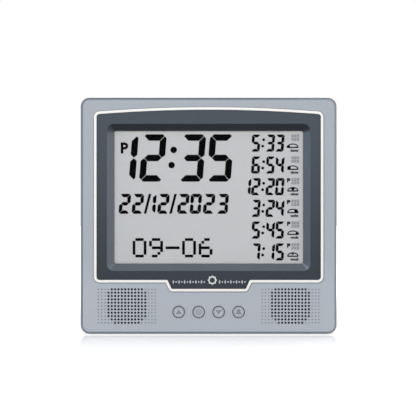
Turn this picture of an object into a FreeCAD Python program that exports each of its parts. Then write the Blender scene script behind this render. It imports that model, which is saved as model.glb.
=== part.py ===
import FreeCAD, Part
import math
import os
import Sketcher

# A desk and wall clock that shows prayer times. Millimetres: X to the right as seen from
# the front, the front faces -Y, Z up. The origin is under the middle of the base.

SIZES = (
    ("case_width", 232.0, "case, outside"),
    ("case_height", 214.0, "case, outside"),
    ("case_corner", 8.0, "outside corner radius seen from the front"),
    ("case_wall", 2.4, "side walls of both halves"),
    ("front_edge", 2.3, "rounding around the front"),
    ("rear_edge", 2.0, "chamfer around the back"),
    ("front_length", 20.0, "depth of the front half, from its face to the parting line"),
    ("face_wall", 2.4, "front half, behind its face"),
    ("rear_wall", 2.4, "rear cover's back"),
    ("lip_height", 2.6, "rear cover's locating lip, into the front half"),
    ("lip_wall", 1.4, "rear cover's locating lip"),
    ("fit_gap", 0.1, "around pieces that seat in each other"),
    ("tower_inset", 8.6, "screw towers, in from the case's sides"),
    ("tower_half", 3.2, "half side of the square screw towers"),
    ("rib_thickness", 1.2, "ribs that tie the towers to the walls"),
    ("screw_radius", 1.3, "case screws"),
    ("screw_length", 12.0, "case screws, under the head"),
    ("screw_head_radius", 2.3, "case screws"),
    ("screw_head_height", 1.9, "case screws"),
    ("screw_seat", 9.4, "depth of the screw wells from the back"),
    ("trim_side_margin", 12.1, "case side to the trim"),
    ("trim_top_margin", 8.63, "case top to the trim at the middle"),
    ("trim_arch", 4.25, "rise of the trim's arched top"),
    ("trim_base_height", 46.5, "trim's lower edge beside the tab"),
    ("tab_drop", 8.1, "how far the tab reaches below that edge"),
    ("tab_top_half", 38.8, "tab's half width at its top"),
    ("tab_bottom_half", 35.1, "tab's half width at its bottom"),
    ("trim_width", 2.3, "trim bead seen from the front"),
    ("trim_proud", 0.5, "trim in front of the case"),
    ("trim_corner", 5.2, "trim's outer corners"),
    ("tab_corner", 3.6, "tab's outer lower corners"),
    ("shoulder_corner", 1.2, "inward corners beside the tab"),
    ("panel_drop", 0.6, "display panel behind the case's face"),
    ("panel_flange", 2.0, "thickness of the panel's flange"),
    ("flange_lap", 1.8, "flange beyond the trim, behind the case's face"),
    ("window_side_margin", 18.2, "trim to the window at each side"),
    ("window_top_margin", 21.62, "trim to the window at the top"),
    ("window_base_margin", 17.25, "trim to the window at the base"),
    ("bevel_width", 6.45, "sloped border of the window"),
    ("bevel_depth", 5.0, "depth of that border"),
    ("bevel_corner", 6.45, "its corners at the front"),
    ("window_corner", 1.0, "its corners at the window"),
    ("glass_lap", 4.3, "lens and glass beyond the window"),
    ("glass_gap", 0.2, "around the lens and glass"),
    ("lens_thickness", 1.2, "clear window"),
    ("film_thickness", 0.2, "polariser and reflector"),
    ("glass_thickness", 1.1, "each glass of the display"),
    ("glass_ledge", 4.8, "contact ledge at the top and bottom of the front glass"),
    ("zebra_width", 2.4, "rubber contact strips"),
    ("frame_depth", 2.2, "frame behind the display"),
    ("frame_width", 9.0, "border of that frame"),
    ("pocket_wall", 1.8, "wall around the lens and glass"),
    ("board_thickness", 1.6, "circuit boards"),
    ("board_gap", 1.9, "main board to the battery bay"),
    ("clip_wall", 1.5, "clips that hold the boards"),
    ("clip_width", 8.0, "clips that hold the boards"),
    ("clip_hook", 0.8, "clips over a board's edge"),
    ("clip_margin", 22.0, "main board's clips, in from its top and bottom"),
    ("chip_offset", 20.0, "battery bay to the chip and the capacitors"),
    ("chip_radius", 8.0, "resin blob over the chip"),
    ("chip_height", 1.6, "resin blob over the chip"),
    ("crystal_length", 8.0, "timing crystal"),
    ("crystal_height", 3.2, "timing crystal"),
    ("capacitor_radius", 4.0, "capacitors"),
    ("capacitor_length", 10.5, "capacitors"),
    ("capacitor_pitch", 13.0, "capacitors, centre to centre"),
    ("button_pitch", 18.07, "buttons, centre to centre"),
    ("button_height", 19.8, "button centres above the base"),
    ("button_radius", 4.9, "button caps"),
    ("button_ring", 0.7, "gap around a cap"),
    ("button_proud", 0.8, "caps in front of the case"),
    ("button_flange_half", 6.2, "half side of the square flange that keeps a cap in"),
    ("button_flange", 1.0, "thickness of that flange"),
    ("switch_side", 6.0, "key switches"),
    ("switch_depth", 3.5, "key switches without the plunger"),
    ("switch_rise", 1.5, "plunger in front of its switch"),
    ("plunger_half", 1.2, "half side of the switch plungers"),
    ("plunger_reach", 2.0, "plunger inside its switch"),
    ("plunger_gap", 0.05, "around a plunger"),
    ("key_board_half_height", 8.0, "key board above and below the buttons"),
    ("key_board_overhang", 3.0, "key board beyond the outer buttons' flanges"),
    ("ribbon_width", 12.0, "cable between the boards"),
    ("ribbon_thickness", 0.6, "cable between the boards"),
    ("grille_margin", 41.9, "grille centres in from the case's sides"),
    ("grille_height", 25.2, "grille centres above the base"),
    ("grille_pitch", 3.03, "grille holes, centre to centre"),
    ("grille_hole", 1.8, "grille holes, across their corners"),
    ("speaker_radius", 18.0, "speaker frame"),
    ("speaker_rim", 1.5, "rim of a speaker frame"),
    ("speaker_depth", 4.0, "speaker frame"),
    ("speaker_dish", 2.0, "depth of the dish that holds the cone"),
    ("cone_thickness", 0.6, "speaker cone"),
    ("cone_gap", 0.3, "around a speaker cone"),
    ("cup_wall", 1.1, "ribs that locate a speaker"),
    ("cup_depth", 3.0, "ribs that locate a speaker"),
    ("magnet_radius", 10.0, "speaker magnet"),
    ("magnet_thickness", 5.0, "speaker magnet"),
    ("cell_radius", 7.25, "AA cell"),
    ("cell_length", 50.5, "AA cell with its cap"),
    ("cell_gap", 0.3, "around a cell"),
    ("cell_pitch", 15.0, "cells, centre to centre"),
    ("spring_length", 5.0, "battery spring when a cell is in"),
    ("plate_thickness", 0.5, "battery contact plates"),
    ("contact_size", 10.0, "battery contact plates"),
    ("bay_wall", 1.8, "battery bay"),
    ("bay_rib", 1.4, "ribs between the cells"),
    ("bay_drop", 43.0, "case top to the battery bay"),
    ("door_thickness", 2.0, "battery door"),
    ("door_lap", 1.5, "door over the bay's walls"),
    ("door_gap", 0.3, "around the door"),
    ("door_shoulder", 5.0, "narrow top of the door, below its hinge"),
    ("door_corner", 2.0, "door's lower corners"),
    ("hinge_reach", 1.5, "door and stand pins into the cover"),
    ("hinge_gap", 0.06, "around the hinge pins"),
    ("thumb_notch", 7.0, "finger notches of the door and the stand"),
    ("stand_drop", 9.0, "battery bay to the stand's hinge"),
    ("stand_foot", 6.0, "foot of the folded stand above the base"),
    ("stand_top_half", 27.0, "half width of the stand at its hinge"),
    ("stand_foot_half", 21.0, "half width of the stand at its foot"),
    ("stand_depth", 5.0, "stand, edge walls included"),
    ("stand_skin", 2.2, "stand's outer wall"),
    ("stand_rim", 2.0, "stand's edge walls"),
    ("stand_heel", 2.0, "stand above its hinge"),
    ("stand_sink", 0.3, "folded stand behind the cover's face"),
    ("stand_gap", 0.5, "around the folded stand"),
    ("stand_wall", 1.8, "stand recess"),
    ("stand_corner", 4.0, "stand's lower corners"),
    ("stand_pin", 1.5, "radius of the stand's hinge pins"),
    ("stand_angle", 30.0, "opening of the stand, degrees"),
    ("keyhole_drop", 29.0, "case top to the keyhole's head hole"),
    ("keyhole_radius", 4.25, "head hole"),
    ("keyhole_slot", 2.1, "half width of the slot above it"),
    ("keyhole_rise", 8.0, "head hole to the slot's end"),
    ("keyhole_depth", 5.0, "room behind the keyhole"),
    ("guard_wall", 1.5, "pocket behind the keyhole"),
    ("jack_margin", 31.0, "power jack in from the case's side"),
    ("jack_height", 60.0, "power jack above the base"),
    ("jack_hole", 3.1, "radius of its hole in the cover"),
    ("jack_side", 9.0, "power jack's body"),
    ("jack_length", 12.0, "power jack's body"),
    ("jack_bore", 3.2, "radius of the jack's own bore"),
    ("jack_pin", 1.0, "radius of the jack's centre pin"),
    ("jack_pin_set", 1.5, "centre pin behind the jack's mouth"),
)

PLANE_ROLE = {"x": "YZ_Plane", "y": "XZ_Plane", "z": "XY_Plane"}
PLANE_NORMAL = {"x": 1, "y": -1, "z": 1}


class Size:
    """A number together with the spreadsheet expression that gives it."""

    def __init__(self, value, text):
        self.value = value
        self.text = text

    def __add__(self, other):
        other = as_size(other)
        return Size(self.value + other.value, f"({self.text} + {other.text})")

    def __sub__(self, other):
        other = as_size(other)
        return Size(self.value - other.value, f"({self.text} - {other.text})")

    def __mul__(self, other):
        other = as_size(other)
        return Size(self.value * other.value, f"({self.text} * {other.text})")

    def __truediv__(self, other):
        other = as_size(other)
        return Size(self.value / other.value, f"({self.text} / {other.text})")

    def __radd__(self, other):
        return as_size(other) + self

    def __rsub__(self, other):
        return as_size(other) - self

    def __rmul__(self, other):
        return as_size(other) * self

    def __neg__(self):
        return 0 - self

    def root(self):
        return Size(math.sqrt(self.value), f"sqrt({self.text})")

    def sine(self):
        return Size(math.sin(math.radians(self.value)), f"sin({self.text} * 1 deg)")

    def cosine(self):
        return Size(math.cos(math.radians(self.value)), f"cos({self.text} * 1 deg)")


def as_size(number):
    if isinstance(number, Size):
        return number
    return Size(float(number), repr(float(number)))


class Dimensions:
    """The spreadsheet's cells by name."""

    def __init__(self, sheet):
        for row, (name, value, meaning) in enumerate(SIZES, 1):
            sheet.set(f"A{row}", name)
            sheet.set(f"B{row}", str(value))
            sheet.set(f"C{row}", meaning)
            sheet.setAlias(f"B{row}", name)
            setattr(self, name, Size(value, f"Sizes.{name}"))


document = FreeCAD.newDocument("AzanClock")
dim = Dimensions(document.addObject("Spreadsheet::Sheet", "Sizes"))
document.recompute()
parts = {}


# ---- building blocks ------------------------------------------------------------------


def bind(item, path, size):
    item.setExpression(path, as_size(size).text)


def bind_place(item, x, y, z):
    bind(item, "Placement.Base.x", x)
    bind(item, "Placement.Base.y", y)
    bind(item, "Placement.Base.z", z)


def vector(u, v):
    return FreeCAD.Vector(u.value, v.value, 0)


def fix_point(sketch, shape, end, u, v):
    for kind, size in (("DistanceX", u), ("DistanceY", v)):
        number = sketch.addConstraint(Sketcher.Constraint(kind, shape, end, size.value))
        bind(sketch, f"Constraints[{number}]", size)


def fix_radius(sketch, shape, size):
    number = sketch.addConstraint(Sketcher.Constraint("Radius", shape, size.value))
    bind(sketch, f"Constraints[{number}]", size)


def arc_between(start, end, radius):
    """Counter-clockwise arc of less than half a turn."""
    middle = (start + end) * 0.5
    half = (end - start) * 0.5
    side = FreeCAD.Vector(-half.y, half.x, 0).normalize()
    centre = middle + side * math.sqrt(max(radius**2 - half.Length**2, 0))
    first = math.atan2(start.y - centre.y, start.x - centre.x)
    last = math.atan2(end.y - centre.y, end.x - centre.x)
    return Part.ArcOfCircle(Part.Circle(centre, FreeCAD.Vector(0, 0, 1), radius), first, last)


def draw_circle(sketch, u, v, radius):
    u, v, radius = as_size(u), as_size(v), as_size(radius)
    round_line = Part.Circle(vector(u, v), FreeCAD.Vector(0, 0, 1), radius.value)
    shape = sketch.addGeometry(round_line)
    fix_point(sketch, shape, 3, u, v)
    fix_radius(sketch, shape, radius)


def draw_path(sketch, points):
    """Closed, counter-clockwise. A third value is the radius of the arc that ends there."""
    corners = [tuple(as_size(value) for value in point) for point in points]
    first = sketch.GeometryCount
    count = len(corners)
    for step in range(count):
        start = corners[step]
        end = corners[(step + 1) % count]
        a, b = vector(*start[:2]), vector(*end[:2])
        if len(end) == 3:
            sketch.addGeometry(arc_between(a, b, end[2].value))
        else:
            sketch.addGeometry(Part.LineSegment(a, b))
    for step in range(count):
        line = first + step
        following = first + (step + 1) % count
        sketch.addConstraint(Sketcher.Constraint("Coincident", line, 2, following, 1))
        fix_point(sketch, line, 1, *corners[step][:2])
        arriving = corners[(step + 1) % count]
        if len(arriving) == 3:
            fix_radius(sketch, line, arriving[2])


def sketch_on(body, axis, at, loops):
    """A sketch across the axis. A tuple is a circle (u, v, radius), a list is a path."""
    sketch = body.newObject("Sketcher::SketchObject", "Sketch")
    plane = [item for item in body.Origin.OriginFeatures if item.Role == PLANE_ROLE[axis]]
    sketch.AttachmentSupport = [(plane[0], "")]
    sketch.MapMode = "FlatFace"
    bind(sketch, "AttachmentOffset.Base.z", as_size(at) * PLANE_NORMAL[axis])
    for loop in loops:
        if isinstance(loop, tuple):
            draw_circle(sketch, *loop)
        else:
            draw_path(sketch, loop)
    return sketch


def grow(body, axis, low, high, *loops):
    """Adds the loops' area from low to high along the axis."""
    pad = body.newObject("PartDesign::Pad", "Pad")
    pad.Profile = sketch_on(body, axis, low, loops)
    bind(pad, "Length", as_size(high) - low)
    pad.Reversed = PLANE_NORMAL[axis] < 0
    body.Tip = pad
    return pad


def carve(body, axis, low, high, *loops):
    """Takes the loops' area away from low to high along the axis."""
    pocket = body.newObject("PartDesign::Pocket", "Pocket")
    pocket.Profile = sketch_on(body, axis, low, loops)
    bind(pocket, "Length", as_size(high) - low)
    pocket.Reversed = PLANE_NORMAL[axis] > 0
    body.Tip = pocket
    return pocket


def edges_along(shape, axis, places):
    """Names of the straight edges along the axis through any of the places."""
    names = []
    for number, edge in enumerate(shape.Edges, 1):
        if edge.Curve.TypeId != "Part::GeomLine":
            continue
        way = edge.tangentAt(edge.FirstParameter)
        if abs(getattr(way, axis)) < 0.999:
            continue
        middle = edge.CenterOfMass
        u, v = [getattr(middle, name) for name in "xyz" if name != axis]
        if any(math.hypot(u - a.value, v - b.value) < 0.01 for a, b in places):
            names.append(f"Edge{number}")
    return names


def edges_at(shape, axis, at):
    """Names of the edges that lie flat at this place on the axis."""
    names = []
    for number, edge in enumerate(shape.Edges, 1):
        box = edge.BoundBox
        low = getattr(box, axis.upper() + "Min")
        high = getattr(box, axis.upper() + "Max")
        if max(abs(low - at.value), abs(high - at.value)) < 0.01:
            names.append(f"Edge{number}")
    return names


def round_corners(body, radius, axis, places):
    document.recompute()
    tip = body.Tip
    fillet = body.newObject("PartDesign::Fillet", "Fillet")
    fillet.Base = (tip, edges_along(tip.Shape, axis, places))
    bind(fillet, "Radius", radius)
    body.Tip = fillet


def round_rim(body, radius, axis, at):
    document.recompute()
    tip = body.Tip
    fillet = body.newObject("PartDesign::Fillet", "Fillet")
    fillet.Base = (tip, edges_at(tip.Shape, axis, at))
    bind(fillet, "Radius", radius)
    body.Tip = fillet


def chamfer_rim(body, size, axis, at):
    document.recompute()
    tip = body.Tip
    chamfer = body.newObject("PartDesign::Chamfer", "Chamfer")
    chamfer.Base = (tip, edges_at(tip.Shape, axis, at))
    bind(chamfer, "Size", size)
    body.Tip = chamfer


def new_body(label):
    body = document.addObject("PartDesign::Body", label)
    keep(label, body)
    return body


def rectangle(left, right, bottom, top):
    return [(left, bottom), (right, bottom), (right, top), (left, top)]


def square(x, z, half):
    return rectangle(x - half, x + half, z - half, z + half)


def faceted(half, bottom, top, radius):
    """A rectangle about the middle with each corner rounded in three short sides."""
    centres = ((half - radius, top - radius), (radius - half, top - radius))
    centres += ((radius - half, bottom + radius), (half - radius, bottom + radius))
    points = []
    for quarter, (u, v) in enumerate(centres):
        for step in range(4):
            turn = math.radians(90 * quarter + 30 * step)
            points.append((u + radius * math.cos(turn), v + radius * math.sin(turn)))
    return points


def polygon(u, v, radius, sides=8):
    """Regular outline that stands for a circle where nobody sees it."""
    turns = [math.pi / sides * (2 * corner + 1) for corner in range(sides)]
    return [(u + radius * math.cos(turn), v + radius * math.sin(turn)) for turn in turns]


def prism(label, axis, low, high, *outline):
    """A straight piece in a body of its own."""
    body = document.addObject("PartDesign::Body", label)
    grow(body, axis, low, high, polygon(*outline))
    return body


def rounded(left, right, bottom, top, radius):
    return [
        (left + radius, bottom, radius),
        (right - radius, bottom),
        (right, bottom + radius, radius),
        (right, top - radius),
        (right - radius, top, radius),
        (left + radius, top),
        (left, top - radius, radius),
        (left, bottom + radius),
    ]


def block(label, left, right, front_side, back_side, bottom, top):
    """A plain box as a Part primitive."""
    box = document.addObject("Part::Box", label)
    bind(box, "Length", as_size(right) - left)
    bind(box, "Width", as_size(back_side) - front_side)
    bind(box, "Height", as_size(top) - bottom)
    bind_place(box, left, front_side, bottom)
    return box


def keep(label, item):
    item.Label = label
    parts[label] = item


def compound(label, items):
    together = document.addObject("Part::Compound", label)
    together.Links = items
    return together


def group(label, items):
    """Separate solids that share one node."""
    keep(label, compound(label, items))


def without(label, base, tool):
    cut = document.addObject("Part::Cut", label)
    cut.Base = base
    cut.Tool = tool
    return cut


# ---- places, worked out from the sheet ------------------------------------------------

half_width = dim.case_width / 2
mouth_half_width = half_width - dim.case_wall
grille_distance = half_width - dim.grille_margin

# depths: each layer of the display sits on the one in front of it
case_depth = (
    dim.panel_drop
    + dim.bevel_depth
    + dim.lens_thickness
    + dim.film_thickness * 2
    + dim.glass_thickness * 2
    + dim.frame_depth
    + dim.board_thickness
    + dim.board_gap
    + dim.bay_wall
    + dim.cell_radius * 2
    + dim.cell_gap * 2
    + dim.door_thickness
)
front = (dim.button_proud - case_depth) / 2
back = front + case_depth
face_back = front + dim.face_wall
parting = front + dim.front_length
cover_inside = back - dim.rear_wall
panel_face = front + dim.panel_drop
lens_front = panel_face + dim.bevel_depth
lens_back = lens_front + dim.lens_thickness
polariser_back = lens_back + dim.film_thickness
front_glass_back = polariser_back + dim.glass_thickness
rear_glass_back = front_glass_back + dim.glass_thickness
reflector_back = rear_glass_back + dim.film_thickness
board_front = reflector_back + dim.frame_depth
board_back = board_front + dim.board_thickness
bay_front = board_back + dim.board_gap
bay_floor = bay_front + dim.bay_wall
cell_axis = bay_floor + dim.cell_gap + dim.cell_radius
door_inside = back - dim.door_thickness

# the trim's outline and the window inside it
trim_half_width = half_width - dim.trim_side_margin
trim_apex = dim.case_height - dim.trim_top_margin
trim_base = dim.trim_base_height
tab_base = dim.trim_base_height - dim.tab_drop
arch_radius = (trim_half_width * trim_half_width + dim.trim_arch * dim.trim_arch) / (
    dim.trim_arch * 2
)
window_half = trim_half_width - dim.window_side_margin
window_top = trim_apex - dim.window_top_margin
window_bottom = trim_base + dim.window_base_margin
glass_half = window_half + dim.glass_lap
glass_top = window_top + dim.glass_lap
glass_bottom = window_bottom - dim.glass_lap
pocket_half = glass_half + dim.glass_gap
pocket_top = glass_top + dim.glass_gap
pocket_bottom = glass_bottom - dim.glass_gap

# screws: (x, z) of each, and where the towers of the two halves meet
screw_side = half_width - dim.tower_inset
screw_places = [
    (sign * screw_side, z)
    for sign in (-1, 1)
    for z in (dim.tower_inset, dim.case_height - dim.tower_inset)
]
lip_end = parting - dim.lip_height

# boards: half widths
board_side = pocket_half + dim.pocket_wall
key_board_side = dim.button_pitch * 1.5 + dim.button_flange_half + dim.key_board_overhang

# buttons, from left to right
button_names = ("up", "set", "down", "alarm")
button_places = [dim.button_pitch * (number - 1.5) for number in range(4)]
cap_front = front - dim.button_proud
cap_flange_front = face_back + dim.fit_gap
cap_back = cap_flange_front + dim.button_flange
switch_front = cap_back + dim.switch_rise
key_board_front = switch_front + dim.switch_depth
key_board_back = key_board_front + dim.board_thickness

# battery bay and its door, in the back
bay_half = (dim.cell_length + dim.spring_length + dim.plate_thickness) / 2
door_rod = dim.door_thickness / 2
bay_top = dim.case_height - dim.bay_drop
hinge_height = bay_top - dim.door_gap - door_rod
cells_top = hinge_height - door_rod - dim.door_gap
cell_heights = [
    cells_top - dim.cell_gap - dim.cell_radius - dim.cell_pitch * number for number in range(3)
]
bay_bottom = cell_heights[2] - dim.cell_radius - dim.cell_gap
door_bottom = bay_bottom - dim.door_lap
door_axis = back - door_rod

# fold-out stand
stand_hinge = bay_bottom - dim.stand_drop
stand_axis = back - dim.stand_sink - dim.stand_depth / 2
heel_reach = (
    dim.stand_heel * dim.stand_heel + dim.stand_depth * dim.stand_depth / 4
).root()
stand_stop = (
    dim.stand_angle.sine() * dim.stand_depth / 2
    + dim.stand_angle.cosine() * dim.stand_heel
    + dim.hinge_gap
)
recess_floor = stand_axis - heel_reach - dim.stand_gap / 2
recess_front = recess_floor - dim.stand_wall

keyhole_height = dim.case_height - dim.keyhole_drop
jack_place = (dim.jack_margin - half_width, dim.jack_height)


def trim_corner_x(half, grow_by):
    """Half width of the tab's corner when its outline grows on every side."""
    slant = dim.tab_top_half - dim.tab_bottom_half
    length = (slant * slant + dim.tab_drop * dim.tab_drop).root()
    return half + (length - slant) / dim.tab_drop * grow_by


def trim_top_z(grow_by):
    """Height of the arch's ends when the outline grows on every side."""
    radius = arch_radius + grow_by
    half = trim_half_width + grow_by
    return trim_apex - arch_radius + (radius * radius - half * half).root()


def trim_outline(grow_by):
    """Arched top, straight sides and a tab at the base."""
    grow_by = as_size(grow_by)
    side = trim_half_width + grow_by
    top = trim_top_z(grow_by)
    upper = trim_corner_x(dim.tab_top_half, grow_by)
    lower = trim_corner_x(dim.tab_bottom_half, grow_by)
    return [
        (-side, trim_base - grow_by),
        (-upper, trim_base - grow_by),
        (-lower, tab_base - grow_by),
        (lower, tab_base - grow_by),
        (upper, trim_base - grow_by),
        (side, trim_base - grow_by),
        (side, top),
        (-side, top, arch_radius + grow_by),
    ]


def round_trim_outline(body, grow_by):
    """Rounds the corners of an outline that the body has just been given."""
    grow_by = as_size(grow_by)
    points = [point[:2] for point in trim_outline(grow_by)]
    outer = [points[0], points[5], points[6], points[7]]
    round_corners(body, dim.trim_corner + grow_by, "y", outer)
    round_corners(body, dim.tab_corner + grow_by, "y", [points[2], points[3]])
    round_corners(body, dim.shoulder_corner, "y", [points[1], points[4]])


def case_outline(inset):
    inset = as_size(inset)
    return rounded(
        inset - half_width,
        half_width - inset,
        inset,
        dim.case_height - inset,
        dim.case_corner - inset,
    )


# ---- front of the case ----------------------------------------------------------------


def grille_holes():
    """Both speaker grilles: four-sided holes, which stand for round ones."""
    columns = (10, 12, 12, 12, 12, 12, 12, 12, 12, 10, 8)
    upright = FreeCAD.Rotation(FreeCAD.Vector(1, 0, 0), -90)
    level = FreeCAD.Rotation(FreeCAD.Vector(0, 0, 1), 45)
    grilles = []
    for side in (-1, 1):
        holes = []
        for row, count in enumerate(columns):
            for column in range(count):
                hole = document.addObject("Part::Prism", "hole")
                hole.Polygon = 4
                hole.Placement.Rotation = upright * level
                bind(hole, "Circumradius", dim.grille_hole / 2)
                bind(hole, "Height", dim.face_wall * 2)
                bind(hole, "Placement.Base.x", dim.grille_pitch * (column - (count - 1) / 2))
                bind(hole, "Placement.Base.z", dim.grille_pitch * (5 - row))
                holes.append(hole)
        grille = compound("grille", holes)
        bind_place(grille, side * grille_distance, front - dim.face_wall / 2, dim.grille_height)
        grilles.append(grille)
    return compound("grilles", grilles)


def screw_towers(body):
    """Square towers tied to the side walls, with the screws' pilot holes."""
    end = lip_end - dim.fit_gap
    half = dim.rib_thickness / 2
    for x, z in screw_places:
        wall = half_width - dim.case_wall / 2
        ends = (x, wall) if x.value > 0 else (-wall, x)
        grow(body, "y", face_back, end, rectangle(*ends, z - half, z + half))
    grow(body, "y", face_back, end, *[square(x, z, dim.tower_half) for x, z in screw_places])
    pilot = dim.screw_radius + dim.fit_gap / 2
    carve(body, "y", face_back, end, *[polygon(x, z, pilot) for x, z in screw_places])


def speaker_ribs(body):
    """Four ribs around each speaker."""
    near = dim.speaker_radius + dim.fit_gap
    far = near + dim.cup_wall
    half = dim.clip_width / 2
    z = dim.grille_height
    ribs = []
    for side in (-1, 1):
        x = side * grille_distance
        ribs.append(rectangle(x - far, x - near, z - half, z + half))
        ribs.append(rectangle(x + near, x + far, z - half, z + half))
        ribs.append(rectangle(x - half, x + half, z - far, z - near))
        ribs.append(rectangle(x - half, x + half, z + near, z + far))
    grow(body, "y", face_back, face_back + dim.cup_depth, *ribs)


def clips(body, base, board, board_end, side, heights):
    """Hooks over the two side edges of a board, on a ledge in front of it where base is free."""
    half = dim.clip_width / 2
    inner = side + dim.fit_gap
    outer = inner + dim.clip_wall
    top = board_end + dim.clip_wall
    for z in heights:
        low, high = z - half, z + half
        uprights = (rectangle(inner, outer, low, high), rectangle(-outer, -inner, low, high))
        grow(body, "y", base, top, *uprights)
        hook = side - dim.clip_hook
        hooks = (rectangle(hook, outer, low, high), rectangle(-outer, -hook, low, high))
        grow(body, "y", board_end, top, *hooks)
        if board is not None:
            grow(body, "y", base, board, *hooks)


def front_bezel():
    body = document.addObject("PartDesign::Body", "front_shell")
    grow(body, "y", front, parting, case_outline(0))
    round_rim(body, dim.front_edge, "y", front)
    carve(body, "y", face_back, parting, case_outline(dim.case_wall))
    carve(body, "y", front, face_back, trim_outline(dim.fit_gap))
    round_trim_outline(body, dim.fit_gap)

    hole = dim.button_radius + dim.button_ring
    carve(body, "y", front, face_back, *[(x, dim.button_height, hole) for x in button_places])
    screw_towers(body)
    speaker_ribs(body)
    heights = [dim.button_height]
    clips(body, face_back, key_board_front, key_board_back, key_board_side, heights)
    keep("front_bezel", without("front_bezel", body, grille_holes()))


def trim_ring():
    body = new_body("trim_ring")
    grow(body, "y", front - dim.trim_proud, face_back, trim_outline(0))
    round_trim_outline(body, 0)
    carve(body, "y", front - dim.trim_proud, face_back, trim_outline(-dim.trim_width))
    round_trim_outline(body, -dim.trim_width)


def display_surround():
    body = new_body("display_surround")
    flange_back = face_back + dim.panel_flange
    plateau = -dim.trim_width - dim.fit_gap
    grow(body, "y", face_back, flange_back, trim_outline(dim.flange_lap))
    round_trim_outline(body, dim.flange_lap)
    grow(body, "y", panel_face, face_back, trim_outline(plateau))
    round_trim_outline(body, plateau)

    wall = dim.pocket_wall
    outside = rounded(
        -pocket_half - wall,
        pocket_half + wall,
        pocket_bottom - wall,
        pocket_top + wall,
        dim.window_corner + wall,
    )
    inside = rounded(-pocket_half, pocket_half, pocket_bottom, pocket_top, dim.window_corner)
    grow(body, "y", flange_back, board_front, outside)
    carve(body, "y", lens_front, board_front, inside)

    bevel = dim.bevel_width
    mouth = faceted(
        window_half + bevel, window_bottom - bevel, window_top + bevel, dim.bevel_corner
    )
    window = faceted(window_half, window_bottom, window_top, dim.window_corner)
    slope = body.newObject("PartDesign::SubtractiveLoft", "SubtractiveLoft")
    slope.Profile = sketch_on(body, "y", panel_face, [mouth])
    slope.Sections = [sketch_on(body, "y", lens_front, [window])]
    slope.Ruled = True
    body.Tip = slope

    heights = [glass_bottom + dim.clip_margin, glass_top - dim.clip_margin]
    clips(body, flange_back, None, board_back, board_side, heights)


# ---- display --------------------------------------------------------------------------


def display_layers():
    """Lens, films and glass, each in its own layer."""
    film_half = window_half + dim.glass_lap / 2
    film_top = window_top + dim.glass_lap / 2
    film_bottom = window_bottom - dim.glass_lap / 2
    rear_top = glass_top - dim.glass_ledge
    rear_bottom = glass_bottom + dim.glass_ledge
    layers = (
        ("display_lens", glass_half, lens_front, lens_back, glass_bottom, glass_top),
        ("lcd_polariser", film_half, lens_back, polariser_back, film_bottom, film_top),
        ("lcd_front_glass", glass_half, polariser_back, front_glass_back, glass_bottom, glass_top),
        ("lcd_rear_glass", glass_half, front_glass_back, rear_glass_back, rear_bottom, rear_top),
        ("lcd_reflector", film_half, rear_glass_back, reflector_back, rear_bottom, rear_top),
    )
    for label, half, layer_front, layer_back, bottom, top in layers:
        keep(label, block(label, -half, half, layer_front, layer_back, bottom, top))


def lcd_frame():
    body = new_body("lcd_frame")
    top = glass_top - dim.glass_ledge
    bottom = glass_bottom + dim.glass_ledge
    outside = rectangle(-glass_half, glass_half, bottom, top)
    border = dim.frame_width
    inside = rectangle(border - glass_half, glass_half - border, bottom + border, top - border)
    grow(body, "y", reflector_back, board_front, outside, inside)


def zebra_strips():
    """Rubber strips that join the glass's contact ledges to the main board."""
    middle = dim.glass_ledge / 2
    strips = []
    for z in (glass_bottom + middle, glass_top - middle):
        low, high = z - dim.zebra_width / 2, z + dim.zebra_width / 2
        half = window_half
        strips.append(block("strip", -half, half, front_glass_back, board_front, low, high))
    group("zebra_strips", strips)


# ---- boards ---------------------------------------------------------------------------


def boards():
    bottom, top = pocket_bottom - dim.pocket_wall, pocket_top + dim.pocket_wall
    board = block("main_board", -board_side, board_side, board_front, board_back, bottom, top)
    keep("main_board", board)

    side = key_board_side
    bottom = dim.button_height - dim.key_board_half_height
    top = dim.button_height + dim.key_board_half_height
    board = block("key_board", -side, side, key_board_front, key_board_back, bottom, top)
    keep("key_board", board)


def board_parts():
    """Chip under its blob of resin, crystal and capacitors, clear of the battery bay."""
    x = -bay_half - dim.bay_wall - dim.chip_offset
    end = board_back + dim.chip_height
    blob = prism("board_chip", "y", board_back, end, x, cell_heights[0], dim.chip_radius)
    keep("board_chip", blob)

    half = dim.crystal_length / 2
    end = board_back + dim.crystal_height
    low, high = cell_heights[2] - half / 2, cell_heights[2] + half / 2
    keep("board_crystal", block("board_crystal", x - half, x + half, board_back, end, low, high))

    x = bay_half + dim.bay_wall + dim.chip_offset
    end = board_back + dim.capacitor_length
    heights = [cell_heights[0] - dim.capacitor_pitch * number for number in range(3)]
    cans = [prism("can", "y", board_back, end, x, z, dim.capacitor_radius) for z in heights]
    group("board_capacitors", cans)


def key_switches():
    """Switch bodies with the square bores that guide their plungers."""
    half = dim.switch_side / 2
    z = dim.button_height
    end = switch_front + dim.plunger_reach + dim.button_proud
    bore = dim.plunger_half + dim.plunger_gap
    switches = []
    for x in button_places:
        housing = block("box", x - half, x + half, switch_front, key_board_front, z - half, z + half)
        hollow = block("bore", x - bore, x + bore, switch_front, end, z - bore, z + bore)
        switches.append(without("switch", housing, hollow))
    group("key_switches", switches)


def key_ribbon():
    """Flat cable from the key board up to the main board."""
    body = new_body("key_ribbon")
    thick = dim.ribbon_thickness
    start = dim.button_height + dim.key_board_half_height
    end = pocket_bottom - dim.pocket_wall
    seat = dim.key_board_half_height / 2
    course = [
        (key_board_back, start - seat),
        (key_board_back + thick, start - seat),
        (key_board_back + thick, start),
        (board_back + thick, end),
        (board_back + thick, end + seat),
        (board_back, end + seat),
        (board_back, end),
        (key_board_back, start),
    ]
    half = dim.ribbon_width / 2
    grow(body, "x", -half, half, course)


# ---- buttons --------------------------------------------------------------------------


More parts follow.
